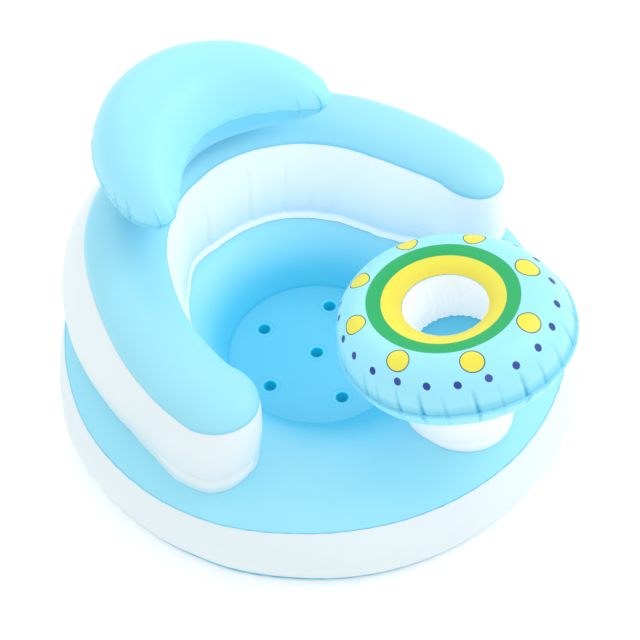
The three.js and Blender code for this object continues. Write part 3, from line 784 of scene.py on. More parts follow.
def repeat_group(name):
    """Sets a copy of one shape on each point of the mesh, turned by the point's turn layer."""
    group = bpy.data.node_groups.new(name, "GeometryNodeTree")
    for label, kind in (("Geometry", "Geometry"), ("Shape", "Object"), ("Material", "Material")):
        group.interface.new_socket(label, in_out="INPUT", socket_type="NodeSocket" + kind)
    group.interface.new_socket("Geometry", in_out="OUTPUT", socket_type="NodeSocketGeometry")
    graph = Graph(group)
    given = graph.add("NodeGroupInput").outputs
    shape = graph.add("GeometryNodeObjectInfo", {"Object": given["Shape"], "As Instance": True})
    named = graph.add("GeometryNodeInputNamedAttribute", {"Name": "turn"}, data_type="FLOAT")
    angles = graph.add("ShaderNodeCombineXYZ", {"Z": named.outputs["Attribute"]})
    copies = graph.add("GeometryNodeInstanceOnPoints", {
        "Points": given["Geometry"],
        "Instance": shape.outputs["Geometry"],
        "Rotation": graph.add("FunctionNodeEulerToRotation", {0: angles.outputs[0]}).outputs[0],
    })
    real = graph.add("GeometryNodeRealizeInstances", {0: copies.outputs[0]}).outputs[0]
    inputs = {"Geometry": real, "Material": given["Material"]}
    painted = graph.add("GeometryNodeSetMaterial", inputs).outputs[0]
    graph.add("NodeGroupOutput", {"Geometry": painted})
    return group


def use_group(obj, group, values):
    modifier = obj.modifiers.new(group.name, "NODES")
    modifier.node_group = group
    for item in group.interface.items_tree:
        if item.in_out == "INPUT" and item.name in values:
            modifier[item.identifier] = values[item.name]
    apply_modifiers(obj)


def revolved(profile, columns):
    """Rows of points round the Z axis from a list of radius and height."""
    radius, height = np.array(profile, float).T
    turn = around(columns)
    return polar(radius[:, None], turn, height[:, None] * np.ones_like(turn))


def plain_mesh(name, rows, closed):
    mesh = bpy.data.meshes.new(name)
    count, columns = rows.shape[:2]
    mesh.from_pydata(rows.reshape(-1, 3), [], grid_faces(count, columns, closed))
    close_seams(mesh)
    return mesh


def on_points(name, places, shape_mesh, material):
    """One mesh of many copies of a shape; places are points with a turn about Z."""
    shape = linked(name + "_shape", shape_mesh)
    points = bpy.data.meshes.new(name)
    points.from_pydata([p[:3] for p in places], [], [])
    add_layers(points, {"turn": [p[3] for p in places]})
    obj = linked(name, points)
    use_group(obj, repeat_group(name + "_copies"), {"Shape": shape, "Material": material})
    bpy.data.objects.remove(shape)
    smooth(obj.data)
    return obj


def make_drains(s, material):
    """Each drain is a welded sleeve from the floor down through the bottom sheet."""
    bore, low, high = s.hole_radius, 0.0016, s.floor_height
    profile = [
        (bore, low), (DRAIN_WELD, low), (DRAIN_WELD, low + 0.0006), (bore + 0.0012, low + 0.0010),
        (bore + 0.0009, 0.006), (bore + 0.0008, 0.018), (bore + 0.0010, high - 0.0006),
        (bore + 0.0011, high + 0.0001), (bore + 0.0008, high + 0.0005),
        (bore + 0.0002, high + 0.0002), (bore - 0.0001, high - 0.0010),
        (bore - 0.0002, 0.018), (bore - 0.0001, 0.010), (bore, 0.004),
    ]
    shape = plain_mesh("drain_shape", revolved(profile, 64), True)
    holes = enumerate(drain_places(s))
    places = [(x + CENTRE[0], y + CENTRE[1], 0.0, 0.3 * i) for i, (x, y) in holes]
    obj = on_points("drain_sleeves", places, shape, material)
    nodes = [f"drain_sleeve_{i + 1}" for i in range(len(places))]
    settle(obj, SEAT, "drain_blue_film", *nodes)


# Backrest

# How far each line of the horseshoe departs from its rule: degrees, then millimetres.
TOP_OUTER = (
    (-180, 3), (-104, 3), (-98, 0), (-88, -2), (-76, -1), (-50, 0), (-10, 0), (18, 0), (35, 7),
    (50, 10), (57, 9), (64, 6.5), (69, 3), (74, -1), (79, -5.5), (84, -9), (89, -12),
    (94, -13.5), (104, -13.5), (180, -13.5),
)
TOP_INNER = (
    (-180, 10), (-104, 10), (-94, 4), (-88, 1.7), (-77, 0), (-66, -2), (-50, -3.7), (-23, -3.3),
    (-10, 1.5), (6, 5), (32, 6.5), (44, 7.9), (55, 6.9), (64, 4.6), (73, 0), (85, -2),
    (93, -0.5), (99, 4), (104, 8), (180, 8),
)
FOOT_OUTER = (
    (-180, -3), (-106, -3), (-98, -0.5), (-90, -5.7), (-82, -6), (-76, -3.2), (-68, 1.3),
    (-61, 6), (-54, 10.6), (-44, 14), (-20, 7), (0, 0), (20, 0), (36, 6), (50, 10), (60, 7),
    (70, 0), (84, -7), (104, -9), (180, -9),
)
FOOT_INNER = (
    (-180, 6), (-104, 6), (-60, 2), (-40, -1), (-25, -3.4), (-14, 1), (0, 0), (9, -3),
    (21, -1.5), (34, 5.5), (47, 11.5), (60, 13.5), (75, 8), (90, -8), (104, -4), (150, 2),
    (180, 2),
)
OUTER_SWELL = (
    (-180, 0), (-85, 0), (-75, -2), (-62, -5), (-51, -5.5), (-45, -4.5), (-40, -2.8),
    (-32, -0.5), (-20, 2), (-12, 3), (0, 2.5), (9, 0), (180, 0),
)
# Each crease: degrees, width in degrees, depth in millimetres, and its two ends on the wall.
CREASES = (
    (-14, 1.3, 1.2, 0.15, 0.8), (-2.2, 1.3, 3.2, 0.1, 0.85), (9, 1.2, 0.9, 0.2, 0.75),
    (20.6, 1.3, 4.2, 0.06, 0.95), (28, 1.1, 0.8, 0.15, 0.7), (36, 1.3, 2.4, 0.08, 0.9),
    (48, 1.3, 2.0, 0.06, 0.75), (57, 1.2, 0.7, 0.05, 0.5),
)
# How much further than the tip length an arm reaches, at its foot and at its top.
LEFT_REACH = (-0.0045, 0.0060)
RIGHT_REACH = (0.0, 0.0064)
FOOT_GAP = 0.0004
FOOT_LIP = 0.0030
FOLD_IN, FOLD_OUT = -0.0030, 0.0032
WALL_RIPPLE = 0.0003
CROWN_WOBBLE = 0.0007


class Horseshoe:
    """The columns of the horseshoe's loop: down the outer side, round an end, and back."""

    def __init__(self, s, side_steps=250, cap_steps=44):
        self.s = s
        along = np.linspace(-s.sweep, s.sweep, side_steps)
        turn = np.linspace(0, math.pi, cap_steps + 1)[1:-1]
        tip = np.full(turn.shape, s.sweep)
        self.angle = np.concatenate([along, tip, along[::-1], -tip])
        ones = np.ones(side_steps)
        self.side = np.concatenate([ones, np.cos(turn), -ones, -np.cos(turn)])
        self.beyond = np.concatenate([0 * ones, np.sin(turn), 0 * ones, np.sin(turn)])
        self.outer_share = (self.side + 1) / 2

    def section(self, level):
        s = self.s
        a = np.abs(self.angle)
        sway = np.cos(s.sway_rate * (a - s.sway_peak))
        taper = smoothstep(a, s.taper_start, s.sweep)
        foot_inner = lerp(s.foot_inner + s.foot_inner_sway * sway, s.foot_tip, taper)
        foot_outer = s.foot_outer + s.foot_outer_sway * sway
        foot_inner = foot_inner + by_angle(self.angle, FOOT_INNER)
        foot_outer = foot_outer + by_angle(self.angle, FOOT_OUTER)
        top_inner = s.centre - s.half + (s.centre_sway - s.half_sway) * sway
        top_outer = s.centre + s.half + (s.centre_sway + s.half_sway) * sway
        top_inner = top_inner + by_angle(self.angle, TOP_INNER)
        top_outer = top_outer + by_angle(self.angle, TOP_OUTER)
        inner, outer = lerp(foot_inner, top_inner, level), lerp(foot_outer, top_outer, level)
        return (inner + outer) / 2, (outer - inner) / 2

    def loop(self, level, spread, height, swell=0.0, extra=0.0):
        """A closed loop; level, spread, height, swell and extra are columns of row values."""
        s = self.s
        fade = smoothstep(np.abs(self.angle), s.bulge_fade, s.sweep)
        full = s.outer_bulge - 0.2 * by_angle(self.angle, FOOT_OUTER)
        full = full + by_angle(self.angle, OUTER_SWELL)
        bulge = np.where(self.side > 0, lerp(full, s.tip_bulge, fade), s.inner_bulge)
        tip = lerp(s.inner_bulge, s.tip_bulge, self.outer_share)
        bulge = np.where(self.beyond > 0, tip, bulge)
        centre, half = self.section(level)
        margin = bulge * swell + extra
        radius = centre + self.side * (half * spread + margin)
        left, right = lerp(*LEFT_REACH, level), lerp(*RIGHT_REACH, level)
        reach = s.tip_length + np.where(self.angle < 0, left, right)
        beyond = self.beyond * (reach * spread + s.tip_bulge * swell + extra)
        a = np.abs(self.angle)
        x = np.sin(a) * radius + np.cos(a) * beyond
        y = np.cos(a) * radius - np.sin(a) * beyond
        x = np.sign(np.where(self.angle == 0, 1, self.angle)) * x
        x = np.where(self.angle == 0, 0 * x, x)
        return stacked(x, y, height)


def wall_extra(shoe, level, height):
    """Creases, the weld lip at the foot and the lower fold round the arm ends."""
    inner = shoe.side < 0
    lip = FOOT_LIP * np.exp(-((height - height[:1]) / 0.0055) ** 2)
    extra = np.where(inner, lip, 0.35 * lip)
    for degrees, width, depth, low, high in CREASES:
        lean = degrees + 2.0 * (level - 0.5)
        gap = (np.degrees(shoe.angle) - lean) / width
        reach = smoothstep(level, low - 0.08, low + 0.08)
        reach = reach * (1 - smoothstep(level, high - 0.25, high))
        sharp = np.exp(-(gap ** 2) * 3) - 0.35 * np.exp(-((gap - 1.1) ** 2))
        extra = extra - np.where(inner & (shoe.beyond == 0), depth * MM * reach * sharp, 0)
    near_tip = smoothstep(np.abs(shoe.angle), math.radians(88), math.radians(104))
    turned = np.where(shoe.beyond > 0, 1.0, near_tip)
    fold = hump(level, 0.235, 0.022) * FOLD_IN + hump(level, 0.12, 0.085) * FOLD_OUT
    extra = extra + fold * turned * np.where(inner, 0.5, 1.0)
    degrees = np.degrees(shoe.angle)
    ripple = uneven_waves(degrees * 1.9, degrees * 3.1 + 1)
    return extra + WALL_RIPPLE * ripple * near_welds(level, 0.06, 0.05)


def make_backrest_wall(base, s, material):
    shoe = Horseshoe(s)
    foot = shoe.loop(np.zeros((1, 1)), 1.0, 0.0)
    level = even_rows(64) ** 1.25
    height = lerp(base_top_height(base, *round_back(foot)) + FOOT_GAP, s.seam_height, level)
    rows = shoe.loop(level, 1.0, height, arch(level), wall_extra(shoe, level, height))
    # Painted shadow: a band above the foot's lip, darker on the inner side.
    shaded = smoothstep(level, 0.05, 0.11) * np.exp(-np.maximum(level - 0.1, 0) / 0.3)
    deep = shaded * np.where(shoe.side < 0, 0.6, 0.1)
    # Painted light: the lit layer sets the inner wall's emission, less in the shadow band.
    lit = (1 - shoe.outer_share) * (1 - 0.6 * shaded)
    layers = {"deep": deep, "lit": lit}
    obj = film_sheet("backrest_wall_film", rows, material, -1, base.film, layers)
    settle(obj, SEAT, "white_film", "backrest_side_wall")


def make_backrest_top(base, s, material):
    shoe = Horseshoe(s)
    turn = even_rows(44) * math.pi / 2
    spread = np.cos(turn)
    rise = s.crown * np.sin(turn) ** (2 * s.crown_root)
    rows = shoe.loop(np.ones((1, 1)), spread, s.seam_height + 0.0002 + rise)
    rows[..., 2] += np.sin(shoe.angle * 9 + 0.6) * CROWN_WOBBLE * np.sin(turn) ** 2
    layers = {"deep": hump(spread, 1.0, 0.02) * 0.25 * np.ones(rows.shape[:2])}
    obj = film_sheet("backrest_top_film", rows, material, -1, base.film, layers, folded=True)
    settle(obj, SEAT, "sky_blue_film", "backrest_top_sheet")


def make_backrest_bottom(base, s, material):
    """The hidden sheet under the horseshoe, lying on the base's top sheet."""
    shoe = Horseshoe(s)
    spread = np.linspace(1, 0, 20)[:, None]
    rows = shoe.loop(np.zeros((1, 1)), spread, 0.0, extra=-0.001)
    rows[..., 2] = base_top_height(base, *round_back(rows)) + base.film + WELD_GAP
    layers = {"deep": np.zeros(rows.shape[:2])}
    obj = film_sheet("backrest_bottom_film", rows, material, -1, base.film, layers, folded=True)
    settle(obj, SEAT, "sky_blue_film", "backrest_bottom_sheet")


# Headrest

# Each pleat: degrees round the rim, width in degrees, depth in millimetres.
HEAD_PLEATS = (
    (349, 1.5, 3.4), (174, 1.6, 3.2), (150, 1.3, 3.0), (141, 1.1, 2.0), (133, 1.0, 1.2),
    (114, 1.1, 2.2), (109, 1.0, 1.8), (20, 1.8, 2.0), (196, 1.8, 2.2), (34, 1.2, 1.4),
    (330, 1.6, 1.2), (212, 1.4, 1.3),
)
HEAD_COLUMNS = 480
RIM_HALF = 0.0004
SHEET_GAP = 0.0008


def pleats(turn, table, rebound, spread):
    """Depth of the pleats in millimetres, with the film bulging a little on each side."""
    total = np.zeros_like(turn)
    for degrees, width, depth in table:
        bulged = rebound * turn_hump(turn, degrees, width * spread)
        total = total + depth * (turn_hump(turn, degrees, width) - bulged)
    return total


def headrest_points(s, ring, turn, height, margin):
    power = 2 / s.roundness
    along = signed_power(np.cos(turn), power)
    across = signed_power(np.sin(turn), power)
    right, left = smoothstep(np.cos(turn), 0.2, 1), smoothstep(-np.cos(turn), 0.5, 1)
    span = s.half_length * ring * (1 + 0.030 * right - 0.014 * left) + margin
    width = s.half_width * ring + margin
    bend = along * span / s.bend
    radius = s.bend + across * width
    y = s.back + (radius * np.cos(bend) - s.bend) * s.stretch
    return stacked(radius * np.sin(bend), y, height)


def make_headrest(s, material):
    turn = around(HEAD_COLUMNS)
    arc = np.linspace(0, math.pi / 2, 56)[:, None]
    ring = np.sin(arc)
    swell = np.clip(1 - ring ** s.swell_power, 0, 1) ** s.swell_root
    pleat = pleats(turn, HEAD_PLEATS, 0.3, 2.4)
    fine = 0.25 * np.sin(57 * turn) + 0.2 * np.sin(91 * turn + 2)
    near = 1 - smoothstep(swell * s.rise, 0.003, 0.019)
    dent = (pleat + fine * 0.3) * MM * near
    flutter = 0.0005 * np.sin(23 * turn + np.sin(4 * turn)) + 0.0004 * pleat
    rim = headrest_points(s, 1.0, turn, s.seam_height + RIM_HALF + flutter, s.rim)
    lip = headrest_points(s, 1.0, turn, s.seam_height - RIM_HALF + flutter, s.rim)
    slack = 0.3 * flutter * near
    over = s.seam_height + SHEET_GAP + s.rise * swell + slack
    under = s.seam_height - SHEET_GAP - (s.depth - 0.0012) * swell + slack
    top = push(headrest_points(s, ring, turn, over, 0.0), -dent, 1)
    low = push(headrest_points(s, ring, turn, under, 0.0), -dent * 0.7, -1)
    rows = np.concatenate([top, rim, lip, low[::-1]])
    # Painted shade darkens the pleats on both sheets, and the lower sheet towards the rim.
    crease = np.clip(pleat / 3.4, 0, 1)
    upper = 0.8 * crease * near
    lower = 0.25 * ring + 0.6 * crease * near
    deep = np.concatenate([upper, 0.3 * crease, 0.3 * crease, lower[::-1]])
    obj = closed_body("headrest_cushion", rows, material, {"deep": deep})
    settle(obj, SEAT, "sky_blue_film", "headrest_upper_sheet", "headrest_lower_sheet")


# Toy

# Angles of the toy run counter-clockwise from +X; the seam's tables are in millimetres.
CROWN_SHIFT = (-0.0020, 0.0086)
SEAM_SWAY = (
    (0, 11), (20, 7), (36, 1.5), (45, 0), (63, 0), (80, -1), (140, -2), (180, -2), (192, -2),
    (206, -3.5), (223, -4.6), (245, -3.5), (270, -1), (300, 3), (320, 5), (345, 9.5),
)
SEAM_LIFT = ((0, 0), (140, 0), (180, 1.5), (223, 3.2), (262, 1.5), (300, 0))
POST_SHIFT = (0.0, -0.0045)
TOY_PLEATS = (
    (171.5, 1.3, 2.2), (192, 1.2, 2.6), (203.7, 1.2, 3.4), (215.3, 1.0, 1.6), (230.6, 1.2, 3.4),
    (256, 1.3, 3.4), (180, 1.0, 1.2), (243, 1.0, 1.2), (268, 1.2, 2.0), (281, 1.1, 1.8),
    (296, 1.3, 2.4), (312, 1.1, 1.9), (331, 1.3, 2.2), (352, 1.2, 1.9), (20, 1.3, 2.2),
    (48, 1.2, 1.9), (75, 1.3, 2.2), (103, 1.2, 1.8), (128, 1.3, 2.2), (152, 1.1, 1.8),
)
# Degrees of the small dots on the swollen ring; on the flat print they are evenly spaced.
NAVY_PLACES = (
    342.3, 323.5, 306, 289.2, 272.9, 256.4, 240.3, 224, 208.2, 192.5, 176.9, 161.4, 147.4,
    130.6, 120.6,
)
NAVY_FRONT = 224.0
PLEAT_DEPTH = 0.0034
SEAM_OVER, SEAM_UNDER = 0.0014, -0.0014
RIM_OVER, RIM_UNDER = 0.0012, -0.0006
TOY_COLUMNS, CUP_COLUMNS, POST_COLUMNS = 400, 480, 360
CUP_FOLDS = 13.5
CUP_FOLD_DEPTH = 0.0011
CUP_SAG = 0.0025
CUP_DOME = 0.0035
CUP_CREASE = 0.0030
POST_FOLD = 0.0016
POST_LIP = 0.0024
POST_LEAN = 0.026
POST_LEAN_SIDE = math.radians(188)


def toy_place(s, radius, turn, height):
    """Points of the leaning toy; its crown and its seam don't share one centre."""
    share_up = np.clip(height / s.rise, 0, 1)
    out = smoothstep(radius, s.post_top, s.radius)
    radius = radius + by_angle(turn, SEAM_SWAY) * (1 - share_up) * out
    x = radius * np.cos(turn) + CROWN_SHIFT[0] * share_up
    y = radius * np.sin(turn) + CROWN_SHIFT[1] * share_up
    height = height + by_angle(turn, SEAM_LIFT) * out * (1 - share_up)
    return lean_points(s, stacked(x, y, height))


def lean_points(s, points):
    cos, sin = math.cos(s.lean), math.sin(s.lean)
    x, y, z = points[..., 0], points[..., 1], points[..., 2]
    return np.stack([x, y * cos + z * sin - s.forward, z * cos - y * sin + s.seam_height], -1)


def toy_pleats(turn):
    return pleats(turn, TOY_PLEATS, 0.35, 2.2) * MM


def toy_top_profile(s):
    """Radius and height from the cup's mouth over the crown to the edge of the rim."""
    inward = np.linspace(0, 1, 30, endpoint=False)
    slope_r = lerp(s.cup_radius, s.crown_radius, inward)
    slope_h = s.rise - s.cup_drop * (1 - inward) ** 2
    turn = np.linspace(0, 1, 80) * math.pi / 2
    full = 2 / s.fullness
    outer_r = s.crown_radius + (s.radius - s.crown_radius) * np.sin(turn) ** full
    outer_h = SEAM_OVER + (s.rise - SEAM_OVER) * np.maximum(np.cos(turn), 0) ** full
    return with_rim(s, (slope_r, outer_r), (slope_h, outer_h), RIM_OVER)


def with_rim(s, radii, heights, rim_height):
    """Columns of radius and height with the flat welded rim added."""
    out = np.linspace(0.15, 1, 7)
    radius = np.concatenate([*radii, s.radius + s.rim * out])
    height = np.concatenate([*heights, np.full(out.shape, rim_height)])
    return radius[:, None], height[:, None]


def toy_ripple(s, radius, turn):
    """Depth of the pleats: they fade out up the swell and run through the rim."""
    inward = (s.radius - radius) / (s.radius - s.crown_radius)
    return toy_pleats(turn) * (1 - smoothstep(inward, 0.01, 0.20))


def rim_flutter(s, radius, turn):
    past = smoothstep(radius, s.radius - 0.003, s.radius + s.rim)
    wave = 0.5 * np.sin(31 * turn + 1.5 * np.sin(5 * turn)) + 0.3 * np.sin(53 * turn)
    return past * (wave * 0.0009 - 0.4 * toy_pleats(turn))


def make_toy_top(base, s, material):
    turn = around(TOY_COLUMNS)
    radius, height = toy_top_profile(s)
    steps = np.hypot(np.diff(radius[:, 0]), np.diff(height[:, 0]))
    flat_far = (s.cup_radius + np.concatenate([[0], np.cumsum(steps)]))[:, None]
    height = height + rim_flutter(s, radius, turn)
    rows = toy_place(s, radius * np.ones_like(turn), turn, height)
    rows = push(rows, -toy_ripple(s, radius, turn), -1)
    printed = print_turn(turn)
    flat = np.stack([flat_far * np.cos(printed), flat_far * np.sin(printed)], -1)
    # Painted shade darkens the pleats; the rim and the seam's weld line take a little deeper
    # tint.
    rim = smoothstep(radius, s.radius - 0.001, s.radius + 0.0005)
    pleat = np.clip(toy_ripple(s, radius, turn) / PLEAT_DEPTH, 0, 1)
    deep = np.clip(0.1 * rim + 0.8 * pleat + 0.3 * hump(radius, s.radius, 0.0006), 0, 1)
    layers, placed = {"deep": deep + 0 * turn}, flat / PRINT_SIZE + 0.5
    obj = film_sheet("toy_top_film", rows, material, -1, base.film, layers, placed)
    settle(obj, SEAT, "printed_film", "toy_top_sheet")


def print_turn(turn):
    """Angle on the flat print for an angle on the swollen ring."""
    swollen = np.array(NAVY_PLACES[::-1])
    step = np.arange(len(swollen)) - NAVY_PLACES.index(NAVY_FRONT)
    printed = NAVY_FRONT + 360 / NAVY_DOTS[0] * step
    gap = np.interp(np.degrees(turn) % 360, swollen, printed - swollen, period=360)
    return turn + np.radians(gap)


def make_toy_lower(base, s, material):
    turn = around(TOY_COLUMNS)
    down = np.linspace(0, 1, 60) * math.pi / 2
    flat_r = np.linspace(0, s.post_top + 0.008, 20, endpoint=False)
    outer_r = s.crown_radius + (s.radius - s.crown_radius) * np.sin(down)
    outer_h = SEAM_UNDER - (s.depth + SEAM_UNDER) * np.cos(down)
    flat_h = np.full(flat_r.shape, -s.flat_depth)
    radius, height = with_rim(s, (flat_r, outer_r), (flat_h, outer_h), RIM_UNDER)
    height = height + rim_flutter(s, radius, turn)
    rows = toy_place(s, radius * np.ones_like(turn), turn, height)
    rows = push(rows, -0.8 * toy_ripple(s, radius, turn), 1)
    # Painted shade: the lower sheet is a little deeper all over, and darker in its pleats.
    pleat = np.clip(toy_ripple(s, radius, turn) / PLEAT_DEPTH, 0, 1)
    layers = {"deep": 0.1 + 0.6 * pleat}
    obj = film_sheet("toy_lower_film", rows, material, 1, base.film, layers)
    settle(obj, SEAT, "sky_blue_film", "toy_lower_sheet")


def make_cup(base, s, wall_material, floor_material):
    turn = around(CUP_COLUMNS)
    level = even_rows(44)
    top = s.rise - s.cup_drop - 0.0006
    height = lerp(s.cup_floor + 0.0004, top, level) * np.ones_like(turn)
    folds = np.abs(np.sin(CUP_FOLDS * turn + 0.5 * np.sin(3 * turn))) ** 0.6 - 0.55
    folds = folds + 0.35 * np.sin(41 * turn + 1)
    depth = CUP_FOLD_DEPTH * (1 - smoothstep(level, 0.25, 1.0)) + 0.0003
    sag = CUP_SAG * np.sin(math.pi * level)
    radius = lerp(s.cup_floor_radius, s.cup_radius - WELD_GAP, level) + depth * folds + sag
    rows = toy_place(s, radius, turn, height)
    # Painted shade darkens the cup wall towards its foot; a darker line marks the mouth's weld.
    deep = np.clip(0.9 * hump(level, 1, 0.025) + 0.3 * (1 - level), 0, 1) + 0 * turn
    obj = film_sheet("toy_cup_wall_film", rows, wall_material, 1, base.film, {"deep": deep})
    settle(obj, SEAT, "white_film", "toy_cup_wall")
    far = even_rows(60)
    reach = far * (s.cup_floor_radius + 0.002)
    x, y = reach * np.cos(turn), reach * np.sin(turn)
    crease = hump(x * 0.7 + y * 0.7, -0.006, 0.0022) * smoothstep(-x + y, -0.02, 0.03)
    dome = CUP_DOME * (1 - far ** 2)
    flap = CUP_CREASE * crease * (1 - far ** 3)
    rows = toy_place(s, reach, turn, s.cup_floor + dome * 0.5 + flap - WELD_GAP)
    # Painted shade: the floor takes the deeper tint, darker at its edge; the crease is left
    # lighter, a painted highlight.
    deep = np.clip(0.45 + 0.6 * far ** 6 - 0.4 * crease, 0, 1) + 0 * turn
    obj = film_sheet("toy_cup_floor_film", rows, floor_material, 1, base.film, {"deep": deep})
    settle(obj, SEAT, "mid_blue_film", "toy_cup_floor")


def make_post(base, s, wall_material, top_material):
    turn = around(POST_COLUMNS)
    level = even_rows(48)
    foot_x = s.post_foot * np.cos(turn) + POST_SHIFT[0]
    foot_y = s.post_foot * np.sin(turn) - s.post_forward + POST_SHIFT[1]
    low = stacked(foot_x, foot_y, 0.0)
    low[..., 2] = base_top_height(base, *round_back(low)) + FOOT_GAP
    top = lean_points(s, stacked(
        s.post_top * np.cos(turn), s.post_top * np.sin(turn), -s.flat_depth - 0.0010
    ))
    swell = s.post_bulge * arch(level)
    fold = hump(level, 0.17, 0.05) * -POST_FOLD + hump(level, 0.08, 0.06) * POST_FOLD
    lip = POST_LIP * np.exp(-level / 0.03)
    lean = POST_LEAN * level * (1 - level) * np.maximum(np.cos(turn - POST_LEAN_SIDE), 0)
    out = stacked(np.cos(turn), np.sin(turn), 0.0)
    rows = lerp(low, top, level[..., None]) + out * (swell + fold + lip + lean)[..., None]
    # Painted shade darkens the post's wall towards its foot, over the foot's weld.
    deep = np.exp(-level / 0.05) * 0.7 + 0 * turn
    obj = film_sheet("post_wall_film", rows, wall_material, 1, base.film, {"deep": deep})
    settle(obj, SEAT, "white_film", "post_side_wall")
    reach = even_rows(16) * (s.post_top - 0.0005)
    disc = stacked(reach * np.cos(turn), reach * np.sin(turn), -s.flat_depth - FOOT_GAP)
    # The hidden top sheet takes a flat painted shade.
    layers = {"deep": np.full(disc.shape[:2], 0.3)}
    obj = film_sheet("post_top_film", lean_points(s, disc), top_material, 1, base.film, layers)
    settle(obj, SEAT, "sky_blue_film", "post_top_sheet")


# Valves

CAP_UNDER, CAP_OVER = 0.0016, 0.0032
FLANGE_UNDER, FLANGE_OVER = 0.0003, 0.0013
FLAP_THICKNESS = 0.0008
RIB_RADIUS, RIB_LOW, RIB_HIGH = 0.00038, 0.0001, 0.0012
RIB_COUNT = 20
TETHER_STEPS = 26
TETHER_END, TETHER_WAIST, TETHER_HALF = 0.0015, 0.0012, 0.0005


def valve_matrix(chamber):
    """Where a valve stands: its plug's joint gives the axis, its plug's box gives the place."""
    joint = next(j for j in frame["joints"] if j["name"] == f"{chamber}_plug_slide")
    axis = Vector(joint["axis"]).normalized()
    plug = frame["nodes"][f"{chamber}_valve_plug"]
    points = np.array([v.co for v in plug.data.vertices])
    along = points @ np.array(axis)
    middle = points.mean(0)
    flat = middle - np.array(axis) * (middle @ np.array(axis))
    place = Vector(flat) + axis * (along.max() - CAP_OVER)
    turned_up = Vector((0, 0, 1)).rotation_difference(axis)
    return Matrix.Translation(place) @ turned_up.to_matrix().to_4x4()


def valve_piece(name, rows, closed, place, material):
    mesh = plain_mesh(name, rows, closed)
    mesh.transform(place)
    return new_object(name, mesh, material)


def rounded(points, radius=0.00025):
    """A closed section with its corners turned into short arcs."""
    made = []
    count = len(points)
    for i, corner in enumerate(points):
        here = np.array(corner, float)
        before = np.array(points[i - 1], float)
        after = np.array(points[(i + 1) % count], float)
        if here[0] == 0:
            made.append(here)
            continue
        back, ahead = before - here, after - here
        reach = min(radius, np.linalg.norm(back) / 2.2, np.linalg.norm(ahead) / 2.2)
        start = here + back / np.linalg.norm(back) * reach
        end = here + ahead / np.linalg.norm(ahead) * reach
        for t in np.linspace(0, 1, 4):
            made.append((1 - t) ** 2 * start + 2 * t * (1 - t) * here + t * t * end)
    return made


def make_valve(chamber, s, material):
    place = valve_matrix(chamber)
    under, over = FLANGE_UNDER, FLANGE_OVER
    body = rounded([
        (s.bore, -s.depth), (s.stem, -s.depth), (s.stem, under), (s.flange - 0.0008, under),
        (s.flange, under + 0.0004), (s.flange - 0.0004, over - 0.0002), (s.stem + 0.0022, over),
        (s.stem + 0.0016, over + 0.0002), (s.bore, over),
    ])
    obj = valve_piece(f"{chamber}_valve_seat", revolved(body, 72), True, place, material)
    settle(obj, SEAT, "clear_vinyl", f"{chamber}_valve_body")
    top = -s.depth - WELD_GAP
    low = top - FLAP_THICKNESS
    flap = revolved(rounded([(0, low), (s.stem, low), (s.stem, top), (0, top)]), 48)
    obj = valve_piece(f"{chamber}_valve_check_flap", flap, False, place, material)
    settle(obj, SEAT, "clear_vinyl", f"{chamber}_valve_flap")
    make_plug(chamber, s, place, material)
    make_tether(chamber, s, place, material)


def make_plug(chamber, s, place, material):
    """The pin with its cap, and the ribs round the cap that end beside the tether."""
    pin, under, over = s.bore - 0.00025, CAP_UNDER, CAP_OVER
    profile = rounded([
        (0, -0.008), (pin - 0.0005, -0.008), (pin, -0.0068), (pin - 0.0003, -0.0035),
        (pin, -0.001), (pin, under), (s.cap, under), (s.cap, over - 0.0003),
        (s.cap - 0.0006, over), (0.0024, over), (0.0018, over - 0.0007), (0, over - 0.0007),
    ])
    cap = valve_piece(f"{chamber}_plug_cap", revolved(profile, 72), False, place, material)
    settle(cap, f"{chamber}_plug", "clear_vinyl", f"{chamber}_valve_plug")
    rib = [(0, RIB_LOW), (RIB_RADIUS, RIB_LOW), (RIB_RADIUS, RIB_HIGH), (0, RIB_HIGH)]
    rib_mesh = plain_mesh("rib", revolved(rounded(rib, 0.00012), 12), False)
    turns = [t for t in circle_turns(RIB_COUNT) if abs(math.sin(t / 2)) > 0.3]
    height = under + 0.00005
    spots = [(s.cap * math.cos(t), s.cap * math.sin(t), height, t) for t in turns]
    ribs = on_points(f"{chamber}_plug_grip", spots, rib_mesh, material)
    ribs.data.transform(place)
    settle(ribs, f"{chamber}_plug", "clear_vinyl")


def make_tether(chamber, s, place, material):
    """A soft strap from the flange's edge to the cap, swept along a short curve."""
    path = np.array([
        (s.flange - 0.0008, 0.0020), (s.flange - 0.0017, 0.0022), (0.0098, 0.0027),
        (0.0086, 0.0030), (0.0076, 0.0029), (s.cap + 0.0002, 0.0026),
    ])
    steps = np.linspace(0, len(path) - 1, TETHER_STEPS)
    fine = [np.interp(steps, np.arange(len(path)), path[:, k]) for k in (0, 1)]
    waist = np.sin(np.linspace(0, math.pi, TETHER_STEPS))
    width = lerp(TETHER_END, TETHER_WAIST, waist)
    half_section = [(-1, -0.5), (-0.8, -1), (0.8, -1), (1, -0.5)]
    section = half_section + [(-a, -b) for a, b in half_section]
    rows = []
    for x, z, half in zip(*fine, width):
        rows.append([(x, a * half, z + b * TETHER_HALF) for a, b in section])
    start, end = ([np.mean(row, 0)] * len(section) for row in (rows[0], rows[-1]))
    swept = np.array([start, *rows, end])
    obj = valve_piece(f"{chamber}_tether_strap", swept, False, place, material)
    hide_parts(f"{chamber}_valve_tether")
    start = place @ Vector((s.flange - 0.001, 0, 0.002))
    end = place @ Vector((s.cap + 0.0004, 0, 0.0026))
    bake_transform(obj)


# Stage

PURE_WHITE = (1, 1, 1, 1)
WORLD_TINT = (0.965, 0.99, 1, 1)
WORLD_STRENGTH = 0.98


